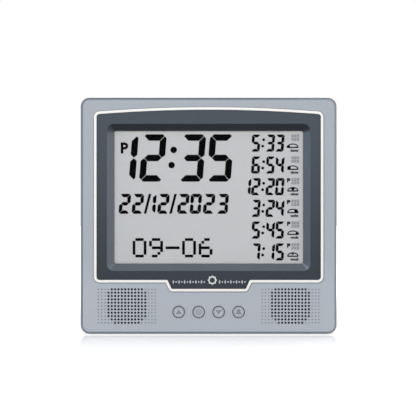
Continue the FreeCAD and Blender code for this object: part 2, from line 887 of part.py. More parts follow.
def buttons():
    """Round caps on square flanges, each with its switch's plunger."""
    z = dim.button_height
    half = dim.plunger_half
    end = cap_back + dim.switch_rise + dim.plunger_reach
    for name, x in zip(button_names, button_places):
        cap = new_body(f"button_{name}")
        grow(cap, "y", cap_front, cap_flange_front, (x, z, dim.button_radius))
        grow(cap, "y", cap_flange_front, cap_back, square(x, z, dim.button_flange_half))
        plunger = block("plunger", x - half, x + half, cap_back, end, z - half, z + half)
        keep(f"plunger_{name}", plunger)


# ---- speakers -------------------------------------------------------------------------


def speakers():
    """Each is a frame with a shallow dish, the cone in that dish and the magnet behind."""
    dish = dim.speaker_radius - dim.speaker_rim
    dish_floor = face_back + dim.speaker_dish
    cone_front = dish_floor - dim.cone_thickness
    frame_end = face_back + dim.speaker_depth
    magnet_end = frame_end + dim.magnet_thickness
    z = dim.grille_height
    for side, name in ((-1, "left"), (1, "right")):
        x = side * grille_distance
        frame = new_body(f"speaker_frame_{name}")
        grow(frame, "y", face_back, frame_end, polygon(x, z, dim.speaker_radius, 16))
        carve(frame, "y", face_back, dish_floor, polygon(x, z, dish, 16))
        cone = prism("cone", "y", cone_front, dish_floor, x, z, dish - dim.cone_gap, 16)
        keep(f"speaker_cone_{name}", cone)
        magnet = prism("magnet", "y", frame_end, magnet_end, x, z, dim.magnet_radius, 16)
        keep(f"speaker_magnet_{name}", magnet)


# ---- back of the case -----------------------------------------------------------------


def door_outline(grow_by):
    """Wide over the bay's walls, narrow between them at the hinge."""
    grow_by = as_size(grow_by)
    wide = bay_half + dim.door_lap + grow_by
    narrow = bay_half - dim.door_gap + grow_by
    shoulder = hinge_height - dim.door_shoulder + grow_by
    low = door_bottom - grow_by
    radius = dim.door_corner
    return [
        (-wide + radius, low, radius),
        (wide - radius, low),
        (wide, low + radius, radius),
        (wide, shoulder),
        (narrow, shoulder),
        (narrow, hinge_height),
        (-narrow, hinge_height),
        (-narrow, shoulder),
        (-wide, shoulder),
        (-wide, low + radius),
    ]


def stand_outline(grow_by, top):
    grow_by = as_size(grow_by)
    upper = dim.stand_top_half + grow_by
    lower = dim.stand_foot_half + grow_by
    foot = dim.stand_foot - grow_by
    return [(-lower, foot), (lower, foot), (upper, top), (-upper, top)]


def keyhole(body):
    """Head hole, slot and the pocket that keeps a wall screw off the inside."""
    radius, slot = dim.keyhole_radius, dim.keyhole_slot
    top = keyhole_height + dim.keyhole_rise
    room = cover_inside - dim.keyhole_depth
    reach = radius + dim.stand_gap
    pocket = (-reach, reach, keyhole_height - reach, top + reach)
    wall = dim.guard_wall
    shell = (-reach - wall, reach + wall, keyhole_height - reach - wall, top + reach + wall)
    grow(body, "y", room - wall, cover_inside, rectangle(*shell))
    carve(body, "y", room, cover_inside, rectangle(*pocket))
    carve(body, "y", cover_inside, back, (as_size(0), keyhole_height, radius))
    carve(body, "y", cover_inside, back, rectangle(-slot, slot, keyhole_height, top))
    carve(body, "y", cover_inside, back, (as_size(0), top, slot))


def hinge_socket(pin):
    """Corner radius of an eight-sided hole whose flats clear a round pin."""
    return (pin + dim.hinge_gap) / math.cos(math.pi / 8)


def battery_bay(body):
    wall = dim.bay_wall
    walls = rectangle(-bay_half - wall, bay_half + wall, bay_bottom - wall, bay_top + wall)
    grow(body, "y", bay_front, cover_inside, walls)
    carve(body, "y", bay_floor, back, rectangle(-bay_half, bay_half, bay_bottom, bay_top))
    carve(body, "y", door_inside, back, door_outline(dim.door_gap))
    for upper, lower in zip(cell_heights, cell_heights[1:]):
        z = (upper + lower) / 2
        half = dim.bay_rib / 2
        ridge = rectangle(-bay_half, bay_half, z - half, z + half)
        grow(body, "y", bay_floor, bay_floor + dim.cell_radius / 2, ridge)
    end = bay_half + dim.hinge_reach + dim.fit_gap
    socket = hinge_socket(door_rod)
    carve(body, "x", -end, end, polygon(door_axis, hinge_height, socket))


def stand_recess(body):
    top = stand_hinge + stand_stop
    gap = dim.stand_gap
    wall = dim.stand_wall
    grow(body, "y", recess_front, cover_inside, stand_outline(gap + wall, top + wall))
    carve(body, "y", recess_floor, back, stand_outline(gap, top))
    end = dim.stand_top_half + gap + dim.hinge_reach
    socket = hinge_socket(dim.stand_pin)
    carve(body, "x", -end, end, polygon(stand_axis, stand_hinge, socket))


def rear_cover():
    body = new_body("rear_cover")
    lip_outside = dim.case_wall + dim.fit_gap
    lip_inside = lip_outside + dim.lip_wall
    grow(body, "y", parting, back, case_outline(0))
    chamfer_rim(body, dim.rear_edge, "y", back)
    grow(body, "y", lip_end, parting, case_outline(lip_outside))
    root = parting + dim.lip_wall
    carve(body, "y", lip_end, root, case_outline(lip_inside))
    carve(body, "y", root, cover_inside, case_outline(lip_outside))

    towers = [square(x, z, dim.tower_half) for x, z in screw_places]
    grow(body, "y", lip_end, cover_inside, *towers)
    seat = back - dim.screw_seat
    hole = dim.screw_radius + dim.glass_gap
    carve(body, "y", lip_end, back, *[polygon(x, z, hole) for x, z in screw_places])
    well = dim.screw_head_radius + dim.glass_gap
    carve(body, "y", seat, back, *[polygon(x, z, well) for x, z in screw_places])

    battery_bay(body)
    stand_recess(body)
    keyhole(body)

    x, z = jack_place
    half = dim.jack_side / 2 + dim.fit_gap
    wall = dim.guard_wall
    sleeve = rectangle(x - half - wall, x + half + wall, z - half - wall, z + half + wall)
    inside = rectangle(x - half, x + half, z - half, z + half)
    grow(body, "y", cover_inside - dim.jack_length / 2, cover_inside, sleeve, inside)
    carve(body, "y", cover_inside, back, (x, z, dim.jack_hole))


def battery_door():
    """Flap with a rod along its top edge, whose ends turn in the cover."""
    body = new_body("battery_door")
    grow(body, "y", door_inside, back, door_outline(0))
    end = bay_half + dim.hinge_reach
    grow(body, "x", -end, end, polygon(door_axis, hinge_height, door_rod, 16))
    low = door_bottom + dim.thumb_notch / 3
    half = dim.thumb_notch
    notch = rectangle(-half, half, low, low + dim.thumb_notch / 3)
    carve(body, "y", back - dim.door_thickness / 2, back, notch)


def stand_leg():
    body = new_body("stand_leg")
    outer = back - dim.stand_sink
    inner = outer - dim.stand_depth
    top = stand_hinge + dim.stand_heel
    grow(body, "y", inner, outer, stand_outline(0, top))
    round_corners(body, dim.stand_corner, "y", stand_outline(0, top)[:2])
    rim = dim.stand_rim
    below = stand_hinge - dim.stand_pin - rim
    carve(body, "y", inner, outer - dim.stand_skin, stand_outline(-rim, below))
    end = dim.stand_top_half + dim.stand_gap + dim.hinge_reach - dim.fit_gap
    grow(body, "x", -end, end, polygon(stand_axis, stand_hinge, dim.stand_pin, 16))
    carve(body, "y", inner, outer, (as_size(0), dim.stand_foot, dim.thumb_notch))


def power_jack():
    x, z = jack_place
    half = dim.jack_side / 2
    start = cover_inside - dim.jack_length
    bore_end = start + dim.guard_wall
    housing = new_body("dc_jack")
    grow(housing, "y", start, cover_inside, square(x, z, half))
    carve(housing, "y", bore_end, cover_inside, polygon(x, z, dim.jack_bore, 16))
    tip = cover_inside - dim.jack_pin_set
    keep("dc_jack_pin", prism("dc_jack_pin", "y", bore_end, tip, x, z, dim.jack_pin))


# ---- batteries ------------------------------------------------------------------------


def batteries():
    plates = []
    springs = []
    half = dim.contact_size / 2
    for number, z in enumerate(cell_heights):
        way = 1 if number % 2 == 0 else -1
        tip = way * (bay_half - dim.plate_thickness)
        wall = way * bay_half
        low, high = (tip, wall) if way > 0 else (wall, tip)
        start, end = (low - dim.cell_length, low) if way > 0 else (high, high + dim.cell_length)
        cell = prism("cell", "x", start, end, cell_axis, z, dim.cell_radius, 16)
        keep(f"battery_cell_{number + 1}", cell)
        depth = (cell_axis - half, cell_axis + half)
        plates.append(block("plate", low, high, *depth, z - half, z + half))
        springs.append(battery_spring(way, z))
    group("battery_plates", plates)
    group("battery_springs", springs)


def battery_spring(way, z):
    """Bent strip that presses on a cell's flat end."""
    spring = document.addObject("PartDesign::Body", "spring")
    thick = dim.plate_thickness
    reach = dim.spring_length
    half = dim.contact_size / 2
    wall = -way * bay_half
    steps = [
        (0, -half),
        (thick, -half),
        (thick, half - thick),
        (reach - thick, 0),
        (reach - thick, -half / 2),
        (reach, -half / 2),
        (reach, dim.cell_gap),
        (thick, half),
        (0, half),
    ]
    course = [(wall + way * across, cell_axis + along) for across, along in steps]
    if way < 0:
        course = course[::-1]
    grow(spring, "z", z - half / 2, z + half / 2, course)
    return spring


# ---- fasteners ------------------------------------------------------------------------


def case_screws():
    seat = back - dim.screw_seat
    tip = seat - dim.screw_length
    top = seat + dim.screw_head_height
    screws = []
    for x, z in screw_places:
        screw = document.addObject("PartDesign::Body", "screw")
        grow(screw, "y", tip, seat, polygon(x, z, dim.screw_radius))
        grow(screw, "y", seat, top, polygon(x, z, dim.screw_head_radius))
        screws.append(screw)
    group("case_screws", screws)


# ---- build and write ------------------------------------------------------------------

front_bezel()
trim_ring()
display_surround()
display_layers()
lcd_frame()
zebra_strips()
boards()
board_parts()
key_switches()
key_ribbon()
buttons()
speakers()
rear_cover()
battery_door()
stand_leg()
power_jack()
batteries()
case_screws()
document.recompute()

for item in document.Objects:
    if "Invalid" in item.State or "Error" in item.State:
        raise RuntimeError(f"{item.Name} of {item.Label} failed: {item.State}")
for label, item in parts.items():
    if item.Shape.isNull() or not item.Shape.isValid():
        raise RuntimeError(f"{label} has no valid shape")

os.makedirs("parts", exist_ok=True)
for label, item in parts.items():
    item.Shape.exportStep(f"parts/{label}.step")
    print(label, len(item.Shape.Solids), round(item.Shape.Volume, 1))
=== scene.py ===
import math

import bmesh
import bpy
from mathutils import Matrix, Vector


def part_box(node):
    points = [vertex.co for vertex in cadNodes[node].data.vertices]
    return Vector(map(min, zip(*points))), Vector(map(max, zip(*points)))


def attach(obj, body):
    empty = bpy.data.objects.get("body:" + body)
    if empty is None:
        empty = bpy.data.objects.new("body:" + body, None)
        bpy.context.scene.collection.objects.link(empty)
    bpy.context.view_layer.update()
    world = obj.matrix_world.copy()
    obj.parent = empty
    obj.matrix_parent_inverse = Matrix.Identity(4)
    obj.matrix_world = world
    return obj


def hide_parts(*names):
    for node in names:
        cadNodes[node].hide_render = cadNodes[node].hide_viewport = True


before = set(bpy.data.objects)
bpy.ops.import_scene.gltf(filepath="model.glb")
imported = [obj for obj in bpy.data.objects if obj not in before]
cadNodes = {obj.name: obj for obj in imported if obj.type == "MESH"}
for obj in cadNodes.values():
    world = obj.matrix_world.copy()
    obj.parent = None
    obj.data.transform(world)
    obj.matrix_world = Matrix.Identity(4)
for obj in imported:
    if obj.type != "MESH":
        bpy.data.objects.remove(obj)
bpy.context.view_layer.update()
mm = 0.001
print("frame loaded:", len(cadNodes), "nodes")


# shader sums: a Wire is one output socket, and sums on it add their nodes

class Wire:
    def __init__(self, tree, socket=None):
        self.tree = tree
        self.socket = socket

    def node(self, kind, settings=None, values=None, out=0):
        made = self.tree.nodes.new("ShaderNode" + kind)
        for name, value in (settings or {}).items():
            setattr(made, name, value)
        for name, value in (values or {}).items():
            if isinstance(value, Wire):
                self.tree.links.new(value.socket, made.inputs[name])
            else:
                made.inputs[name].default_value = value
        return Wire(self.tree, made.outputs[out])

    def math(self, operation, *values, clamp=False):
        settings = {"operation": operation, "use_clamp": clamp}
        return self.node("Math", settings, dict(enumerate(values)))

    def __add__(self, other):
        return self.math("ADD", self, other)

    __radd__ = __add__

    def __sub__(self, other):
        return self.math("SUBTRACT", self, other)

    def __rsub__(self, other):
        return self.math("SUBTRACT", other, self)

    def __mul__(self, other):
        return self.math("MULTIPLY", self, other)

    __rmul__ = __mul__

    def __abs__(self):
        return self.math("ABSOLUTE", self)

    def root(self):
        return self.math("SQRT", self)

    def atLeast(self, other):
        return self.math("MAXIMUM", self, other)

    def around(self, spread):  # a noise's swing about its middle
        return (self - 0.5) * spread

    def step(self, low, high):  # 0 below low, 1 above high
        values = {"Value": self, "From Min": low, "From Max": high}
        return self.node("MapRange", {"interpolation_type": "SMOOTHSTEP"}, values)

    def mix(self, dark, light):  # a colour by this mask; 6 and 7 are the node's colour sockets
        return self.node("Mix", {"data_type": "RGBA"}, {0: self, 6: dark, 7: light}, out=2)

    def tinted(self, colour, amount=1.0):  # this colour multiplied by another
        settings = {"data_type": "RGBA", "blend_type": "MULTIPLY"}
        return self.node("Mix", settings, {0: amount, 6: self, 7: colour}, out=2)

    def noise(self, scale, detail=2.0, stretch=(1, 1, 1)):
        place = self.node("VectorMath", {"operation": "MULTIPLY"}, {0: self, 1: stretch})
        return place.node("TexNoise", {}, {"Vector": place, "Scale": scale, "Detail": detail})

    def part(self, axis):  # one coordinate of a vector
        return self.node("SeparateXYZ", {}, {0: self}, out="xyz".index(axis))

    def relief(self, depth):  # bumps of this height, whose full depth is in metres
        return self.node("Bump", {}, {"Strength": 1.0, "Distance": depth, "Height": self})


def linear(red, green, blue):
    def one(value):
        value /= 255
        return value / 12.92 if value <= 0.04045 else ((value + 0.055) / 1.055) ** 2.4
    return (one(red), one(green), one(blue), 1)


def shaded(colour, by):
    return tuple(min(1, part * by) for part in colour[:3]) + (1,)


def grey(value):
    return (value, value, value, 1)


materials = {}


def makeMaterial(name, paint, fixed):
    material = bpy.data.materials.new(name)
    material.use_nodes = True
    tree = material.node_tree
    shader = tree.nodes["Principled BSDF"]
    for socket, value in fixed.items():
        shader.inputs[socket].default_value = value
    start = Wire(tree)
    place = start.node("TexCoord", out="Object")
    facing = start.node("TexCoord", out="Normal")
    for socket, value in paint(place, facing).items():
        tree.links.new(value.socket, shader.inputs[socket])
    materials[name] = material


# moulded and painted plastics: edge is a painted shade for what turns away from the front, grain is in
# cycles per metre, depth is the grain's, flake is how far the tone swings

plastics = {
    # the case's edge tone is a painted shade along its rounded rim
    "case_silver": dict(colour=(168, 174, 182), edge=(110, 119, 130), grain=5200, depth=0.000012,
                        rough=0.46, flake=0.07, rimmed=True, fixed={"Specular IOR Level": 0.2}),
    # the caps' dark edge tone is painted shade over their bevels, for the shadowed gap around them
    "cap_silver": dict(colour=(177, 183, 193), edge=(46, 53, 62), grain=5200, depth=0.00001,
                       rough=0.4, turn=(0.9, 0.995), flake=0.06, fixed={"Specular IOR Level": 0.25}),
    "cover_grey": dict(colour=(104, 109, 117), edge=(88, 93, 101), grain=1500, depth=0.00008,
                       rough=0.52, flake=0.12, fixed={"Specular IOR Level": 0.35}),
    "trim_white": dict(colour=(236, 235, 231), edge=(222, 223, 221), grain=900, depth=0.000006,
                       rough=0.28, flake=0.02, fixed={"Specular IOR Level": 0.5}),
    "inner_white": dict(colour=(217, 217, 214), edge=(200, 200, 198), grain=1200, depth=0.00003,
                        rough=0.6, flake=0.05, fixed={}),
    "rubber": dict(colour=(52, 52, 54), edge=(46, 46, 48), grain=1800, depth=0.00003,
                   rough=0.75, flake=0.15, fixed={"Specular IOR Level": 0.3}),
    "resin": dict(colour=(16, 16, 17), edge=(14, 14, 15), grain=240, depth=0.00012,
                  rough=0.3, flake=0.2, fixed={}),
    "switch_black": dict(colour=(22, 22, 24), edge=(18, 18, 20), grain=1400, depth=0.00003,
                         rough=0.45, flake=0.15, fixed={}),
    "magnet": dict(colour=(62, 62, 66), edge=(50, 50, 54), grain=2600, depth=0.00004,
                   rough=0.62, flake=0.3, fixed={"Metallic": 0.5}),
    # a painted shade for the speaker frames, so the grille holes look dark
    "speakerShadeBlack": dict(colour=(20, 20, 22), edge=(16, 16, 18), grain=1400, depth=0.00002,
                         rough=0.5, flake=0.15, fixed={"Specular IOR Level": 0.2}),
    # painted shade for inside the grille's holes and for the floors of its dimples
    "grilleShade": dict(colour=(10, 11, 12), edge=(7, 8, 9), grain=2600, depth=0.00001,
                        rough=0.7, flake=0.1, fixed={"Specular IOR Level": 0.1}),
    "dimpleShade": dict(colour=(141, 148, 158), edge=(127, 135, 145), grain=2600, depth=0.00001,
                        rough=0.6, flake=0.06, fixed={"Specular IOR Level": 0.1}),
    "film": dict(colour=(213, 214, 216), edge=(200, 202, 204), grain=2300, depth=0.000002,
                 rough=0.6, flake=0.02, fixed={"Specular IOR Level": 0.05}),
}
mould = dict(detail=3.0, cloud=22, grainShare=0.7, cloudShare=0.3, grainRough=0.1, cloudRough=0.16,
             turn=(0.7, 0.985))  # what all plastics share
# the case's painted shade and light: a dark rim along its rounded edge, lighter on its right and base,
# a milder shade on the sides further back, and the face lighter towards its base
caseShape = dict(half=0.116, middle=0.107, corner=0.008, rim=(-0.0026, -0.0015),
                 sideDepth=(-0.0155, -0.011), side=(146, 152, 162), bright=(128, 138, 148),
                 litSide=(0.05, 0.112), litBase=(0.0, 0.012), base=(0.03, 0.08), baseLight=1.1)


def caseRim(place):  # 0 on the face, 1 along the rounded edge of the case, where a painted shade darkens it
    corner, middle = caseShape["corner"], caseShape["middle"]
    across = (abs(place.part("x")) - (caseShape["half"] - corner)).atLeast(0.0)
    height = (abs(place.part("z") - middle) - (middle - corner)).atLeast(0.0)
    reach = (across * across + height * height).root()
    return (reach - corner).step(*caseShape["rim"])


def caseTones(place, tone, edge):  # painted light on the face's base and on the rim's right and base, and a milder painted shade on the sides
    side = place.part("y").step(*caseShape["sideDepth"])
    lit = place.part("x").step(*caseShape["litSide"])
    lit = lit.atLeast(1 - place.part("z").step(*caseShape["litBase"]))
    edge = side.mix(lit.mix(edge, linear(*caseShape["bright"])), linear(*caseShape["side"]))
    height = place.part("z").step(*caseShape["base"])
    return tone.tinted(grey(caseShape["baseLight"]), 1 - height), edge


def plasticPaint(look):
    def paint(place, facing):
        colour, edge = linear(*look["colour"]), linear(*look["edge"])
        flake = look["flake"]
        fine = place.noise(look["grain"], mould["detail"])
        broad = place.noise(mould["cloud"])
        speckle = fine * mould["grainShare"] + broad * mould["cloudShare"]
        tone = speckle.mix(shaded(colour, 1 - flake), shaded(colour, 1 + flake))
        if look.get("rimmed"):
            turned = caseRim(place)
            tone, edge = caseTones(place, tone, edge)
        else:  # 1 where the surface turns to the side, which takes the edge tone's painted shade
            turned = 1 - abs(facing.part("y")).step(*look.get("turn", mould["turn"]))
        rough = look["rough"] + broad.around(mould["cloudRough"]) + fine.around(mould["grainRough"])
        return {"Base Color": turned.mix(tone, edge), "Roughness": rough,
                "Normal": fine.relief(look["depth"])}
    return paint


for slotName, look in plastics.items():
    makeMaterial(slotName, plasticPaint(look), look["fixed"])


# the dark panel, with painted light and shade: lighter towards its top, lit slopes at the sides and
# base of the window with highlights at its lower corners, and a dim one at its top that casts a painted
# shadow on the side slopes

panelLook = dict(top=(67, 75, 83), base=(48, 55, 62), shadowed=(58, 65, 72),
                 leftSlope=(97, 104, 111), rightSlope=(86, 97, 108), lowSlope=(95, 103, 111),
                 highSlope=(36, 42, 48), leftCornerHighlight=(108, 118, 126), rightCornerHighlight=(124, 137, 150),
                 height=(0.04, 0.2), tilt=(0.2, 0.5), corner=(0.12, 0.18), cornerSplit=(0.0, 0.1),
                 under=(0.12, 0.5), underLean=0.25, shadow=(0.1805, 0.1855),
                 grain=3400, cloud=18, cloudTones=(0.9, 1.1), depth=0.00002, rough=0.44,
                 grainRough=0.1, cloudRough=0.15)


def panelPaint(place, facing):
    look = panelLook

    def ink(name):
        return linear(*look[name])

    fine = place.noise(look["grain"])
    broad = place.noise(look["cloud"])
    sideways, upward = facing.part("x"), facing.part("z")
    # painted light: the panel lighter towards its top
    tone = place.part("z").step(*look["height"]).mix(ink("base"), ink("top"))
    # painted light on the slopes facing the sides and up
    tone = sideways.step(*look["tilt"]).mix(tone, ink("leftSlope"))
    tone = (0 - sideways).step(*look["tilt"]).mix(tone, ink("rightSlope"))
    tone = upward.step(*look["tilt"]).mix(tone, ink("lowSlope"))
    # painted highlights where the slope turns round the lower corners
    lit = (abs(sideways) * upward).step(*look["corner"])
    cornerHighlight = (0 - sideways).step(*look["cornerSplit"]).mix(ink("leftCornerHighlight"), ink("rightCornerHighlight"))
    tone = lit.mix(tone, cornerHighlight)
    # a painted shadow of the top slope on the upper ends of the side slopes
    shadow = abs(sideways).step(*look["tilt"]) * place.part("z").step(*look["shadow"])
    tone = shadow.mix(tone, ink("shadowed"))
    # painted shade on the downward-facing slope at the top of the window
    under = (0 - upward - sideways * look["underLean"]).step(*look["under"])
    tone = under.mix(tone, ink("highSlope"))
    low, high = look["cloudTones"]
    cloud = (fine * 0.5 + broad * 0.5).mix(grey(low), grey(high))
    rough = look["rough"] + broad.around(look["cloudRough"]) + fine.around(look["grainRough"])
    return {"Base Color": tone.tinted(cloud), "Roughness": rough, "Normal": fine.relief(look["depth"])}


makeMaterial("panel_grey", panelPaint, {"Specular IOR Level": 0.15})


# clear window and display glass: rough and alpha are a least value and what a smear adds

clears = {
    "lens_clear": dict(dark=(24, 26, 28), light=(34, 36, 38), smear=30, detail=3.0, rough=(0.16, 0.08),
                       alpha=(0.04, 0.015), fixed={"Specular IOR Level": 0.1}),
    "display_glass": dict(dark=(186, 192, 192), light=(202, 206, 206), smear=40, detail=2.0,
                          rough=(0.12, 0.06), alpha=(0.45, 0.1), fixed={}),
}


def clearPaint(look):
    def paint(place, facing):
        smear = place.noise(look["smear"], look["detail"])
        rough, roughSpread = look["rough"]
        alpha, alphaSpread = look["alpha"]
        return {
            "Base Color": smear.mix(linear(*look["dark"]), linear(*look["light"])),
            "Roughness": rough + smear * roughSpread,
            "Alpha": alpha + smear * alphaSpread,
        }
    return paint


for slotName, look in clears.items():
    makeMaterial(slotName, clearPaint(look), look["fixed"])


# the display's segments, the window's edge line and the printed marks, with the painted shadow beside
# the trim and the painted shade of the buttons' rings

inks = {
    "segmentBlack": dict(colour=(2, 2, 2), spread=0.3, gloss=0.0),
    "segmentGhost": dict(colour=(138, 141, 145), spread=0.03, gloss=0.05),
    "windowEdge": dict(colour=(128, 120, 114), spread=0.1, gloss=0.2),
    "buttonRing": dict(colour=(6, 10, 16), spread=0.1, gloss=0.2),
    "trimShadow": dict(colour=(108, 115, 126), spread=0.06, gloss=0.2),
    "buttonInk": dict(colour=(126, 134, 144), spread=0.05, gloss=0.3),
    "panelInk": dict(colour=(184, 188, 194), spread=0.05, gloss=0.3),
    "starInk": dict(colour=(226, 227, 226), spread=0.04, gloss=0.3),
}
inkGrain = dict(grain=2600, rough=0.5, roughSpread=0.1)


def inkPaint(look):
    def paint(place, facing):
        fine = place.noise(inkGrain["grain"])
        ink, spread = linear(*look["colour"]), look["spread"]
        return {
            "Base Color": fine.mix(shaded(ink, 1 - spread), shaded(ink, 1 + spread)),
            "Roughness": inkGrain["rough"] + fine * inkGrain["roughSpread"],
        }
    return paint


for inkName, look in inks.items():
    makeMaterial(inkName, inkPaint(look), {"Specular IOR Level": look["gloss"]})


# metals, boards, cones and cells

metals = {
    "steel": dict(colour=(176, 178, 182), stretch=(1, 0.2, 1), rough=0.34),
    "can": dict(colour=(196, 198, 202), stretch=(1, 1, 0.2), rough=0.3),
    "brass": dict(colour=(206, 176, 104), stretch=(1, 0.3, 1), rough=0.32),
}
brushed = dict(lines=900, detail=3.0, dark=0.86, light=1.08, roughSpread=0.2, depth=0.000006)


def metalPaint(look):
    def paint(place, facing):
        lines = place.noise(brushed["lines"], brushed["detail"], look["stretch"])
        metal = linear(*look["colour"])
        return {
            "Base Color": lines.mix(shaded(metal, brushed["dark"]), shaded(metal, brushed["light"])),
            "Roughness": look["rough"] + lines.around(brushed["roughSpread"]),
            "Normal": lines.relief(brushed["depth"]),
        }
    return paint


boardLook = dict(dark=(14, 66, 38), light=(28, 96, 54), weave=700, stretch=(1, 1, 0.2), patches=160,
                 detail=1.0, patchEdge=(0.52, 0.56), rough=0.35, roughSpread=0.2, depth=0.00002)


def boardPaint(place, facing):
    weave = place.noise(boardLook["weave"], boardLook["detail"], boardLook["stretch"])
    patches = place.noise(boardLook["patches"], boardLook["detail"]).step(*boardLook["patchEdge"])
    return {
        "Base Color": patches.mix(linear(*boardLook["dark"]), linear(*boardLook["light"])),
        "Roughness": boardLook["rough"] + weave * boardLook["roughSpread"],
        "Normal": weave.relief(boardLook["depth"]),
    }


coneLook = dict(dark=(10, 10, 11), light=(30, 30, 32), fibres=1500, detail=4.0, stretch=(1, 1, 0.35),
                rough=0.8, roughSpread=0.15, depth=0.00006)


def conePaint(place, facing):
    fibres = place.noise(coneLook["fibres"], coneLook["detail"], coneLook["stretch"])
    return {
        "Base Color": fibres.mix(linear(*coneLook["dark"]), linear(*coneLook["light"])),
        "Roughness": coneLook["rough"] + fibres * coneLook["roughSpread"],
        "Normal": fibres.relief(coneLook["depth"]),
    }


cellLook = dict(sleeve=(34, 58, 46), band=(176, 150, 84), bandEdge=(0.0135, 0.0138), bandMetal=0.6,
                scuffTone=(190, 190, 188), scuffs=260, detail=4.0, stretch=(0.3, 1, 1), scuffShare=0.3,
                rough=0.22, roughSpread=0.25)


def cellPaint(place, facing):
    scuffs = place.noise(cellLook["scuffs"], cellLook["detail"], cellLook["stretch"])
    band = place.part("x").step(*cellLook["bandEdge"])
    tone = band.mix(linear(*cellLook["sleeve"]), linear(*cellLook["band"]))
    return {
        "Base Color": (scuffs * cellLook["scuffShare"]).mix(tone, linear(*cellLook["scuffTone"])),
        "Roughness": cellLook["rough"] + scuffs * cellLook["roughSpread"],
        "Metallic": band * cellLook["bandMetal"],
    }


for slotName, look in metals.items():
    makeMaterial(slotName, metalPaint(look), {"Metallic": 1.0})
makeMaterial("board", boardPaint, {})
makeMaterial("cone", conePaint, {"Specular IOR Level": 0.2})
makeMaterial("cell", cellPaint, {"Coat Weight": 0.4})

for piece in cadNodes.values():
    slotName = piece.material_slots[0].material.name
    piece.material_slots[0].material = materials[slotName.split(".")[0]]
# the speaker frames take a black painted shade, seen through the grille holes
for side in ("left", "right"):
    cadNodes["speaker_frame_" + side].material_slots[0].material = materials["speakerShadeBlack"]
print("materials made:", len(materials))


# mesh tools: outlines are (x, z) points seen from the front, in millimetres

meshLook = dict(weld=0.000005, flat=0.5, sharp=30, bevelAngle=28, weight=80)


def circle(x, z, radius, sides=24):
    turn = 2 * math.pi / sides
    return [(x + radius * math.cos(i * turn), z + radius * math.sin(i * turn)) for i in range(sides)]


def rectangle(left, base, right, top):
    return [(left, base), (right, base), (right, top), (left, top)]


def starOutline(x, z, outer, inner, tips):
    outline = []
    for i in range(2 * tips):
        radius, way = inner if i % 2 else outer, math.pi * i / tips
        outline.append((x + radius * math.sin(way), z + radius * math.cos(way)))
    return outline


def roundRectangle(left, right, low, high, corner, steps):
    outline = []
    for number, (x, z) in enumerate(((right, high), (left, high), (left, low), (right, low))):
        x = x - corner if number in (0, 3) else x + corner
        z = z - corner if number < 2 else z + corner
        for i in range(steps + 1):
            angle = math.pi / 2 * (number + i / steps)
            outline.append((x + corner * math.cos(angle), z + corner * math.sin(angle)))
    return outline


def roundedPath(corners, steps):  # (x, z, radius) corners turned into arcs, radius 0 kept sharp
    path = []
    for number, (x, z, bend) in enumerate(corners):
        if not bend:
            path.append((x, z))
            continue
        here = Vector((x, z))
        before = (Vector(corners[number - 1][:2]) - here).normalized()
        after = (Vector(corners[(number + 1) % len(corners)][:2]) - here).normalized()
        half = before.angle(after) / 2
        middle = here + (before + after).normalized() * bend / math.sin(half)
        start = here + before * bend / math.tan(half) - middle
        end = here + after * bend / math.tan(half) - middle
        first, last = math.atan2(start.y, start.x), math.atan2(end.y, end.x)
        turn = (last - first + math.pi) % (2 * math.pi) - math.pi
        for i in range(steps + 1):
            angle = first + turn * i / steps
            path.append((middle.x + bend * math.cos(angle), middle.y + bend * math.sin(angle)))
    return path


def moved(outline, x, z):
    return [(x + a, z + b) for a, b in outline]


def inset(outline, by):  # a convex outline moved inward
    area = sum(a[0] * b[1] - b[0] * a[1] for a, b in zip(outline, outline[1:] + outline[:1]))
    points = outline if area > 0 else outline[::-1]
    lines = []
    for (ax, az), (bx, bz) in zip(points, points[1:] + points[:1]):
        length = math.hypot(bx - ax, bz - az)
        dx, dz = (bx - ax) / length, (bz - az) / length
        lines.append((ax - dz * by, az + dx * by, dx, dz))
    corners = []
    for (ax, az, adx, adz), (bx, bz, bdx, bdz) in zip(lines[-1:] + lines[:-1], lines):
        t = ((bx - ax) * bdz - (bz - az) * bdx) / (adx * bdz - adz * bdx)
        corners.append((ax + adx * t, az + adz * t))
    return corners


def addPoint(work, x, y, z):
    return work.verts.new((x * mm, y * mm, z * mm))


def addLoop(work, outline, y):  # an outline's corners at one depth
    return [addPoint(work, x, y, z) for x, z in outline]


def joinLoops(work, here, there):  # a closed band of four-sided faces
    for i in range(len(here)):
        j = (i + 1) % len(here)
        work.faces.new((here[i], here[j], there[j], there[i]))


def addPlate(work, outline, front, back):
    near, far = addLoop(work, outline, front), addLoop(work, outline, back)
    work.faces.new(near)
    work.faces.new(far[::-1])
    for i in range(len(outline)):
        j = (i + 1) % len(outline)
        work.faces.new((near[j], near[i], far[i], far[j]))


def addLathe(work, centre, profile, sides=48, axis="y"):
    # profile of (radius, distance along the axis) points, closed on itself
    rings = []
    for i in range(sides):
        angle = 2 * math.pi * i / sides
        ring = []
        for radius, along in profile:
            across = (radius * math.cos(angle), radius * math.sin(angle))
            offset = (across[0], along, across[1]) if axis == "y" else (along,) + across
            ring.append(addPoint(work, *(a + b for a, b in zip(centre, offset))))
        rings.append(ring)
    for here, there in zip(rings, rings[1:] + rings[:1]):
        joinLoops(work, here, there)


def newPiece(name, work):
    mesh = bpy.data.meshes.new(name)
    bmesh.ops.recalc_face_normals(work, faces=work.faces)
    work.to_mesh(mesh)
    work.free()
    piece = bpy.data.objects.new(name, mesh)
    bpy.context.scene.collection.objects.link(piece)
    return piece


def finishPiece(name, work, materialName, body):
    piece = newPiece(name, work)
    piece.data.materials.append(materials[materialName])
    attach(piece, body)
    return piece


def addPlates(name, outlines, front, back, materialName, body):
    work = bmesh.new()
    for outline in outlines:
        addPlate(work, outline, front, back)
    return finishPiece(name, work, materialName, body)


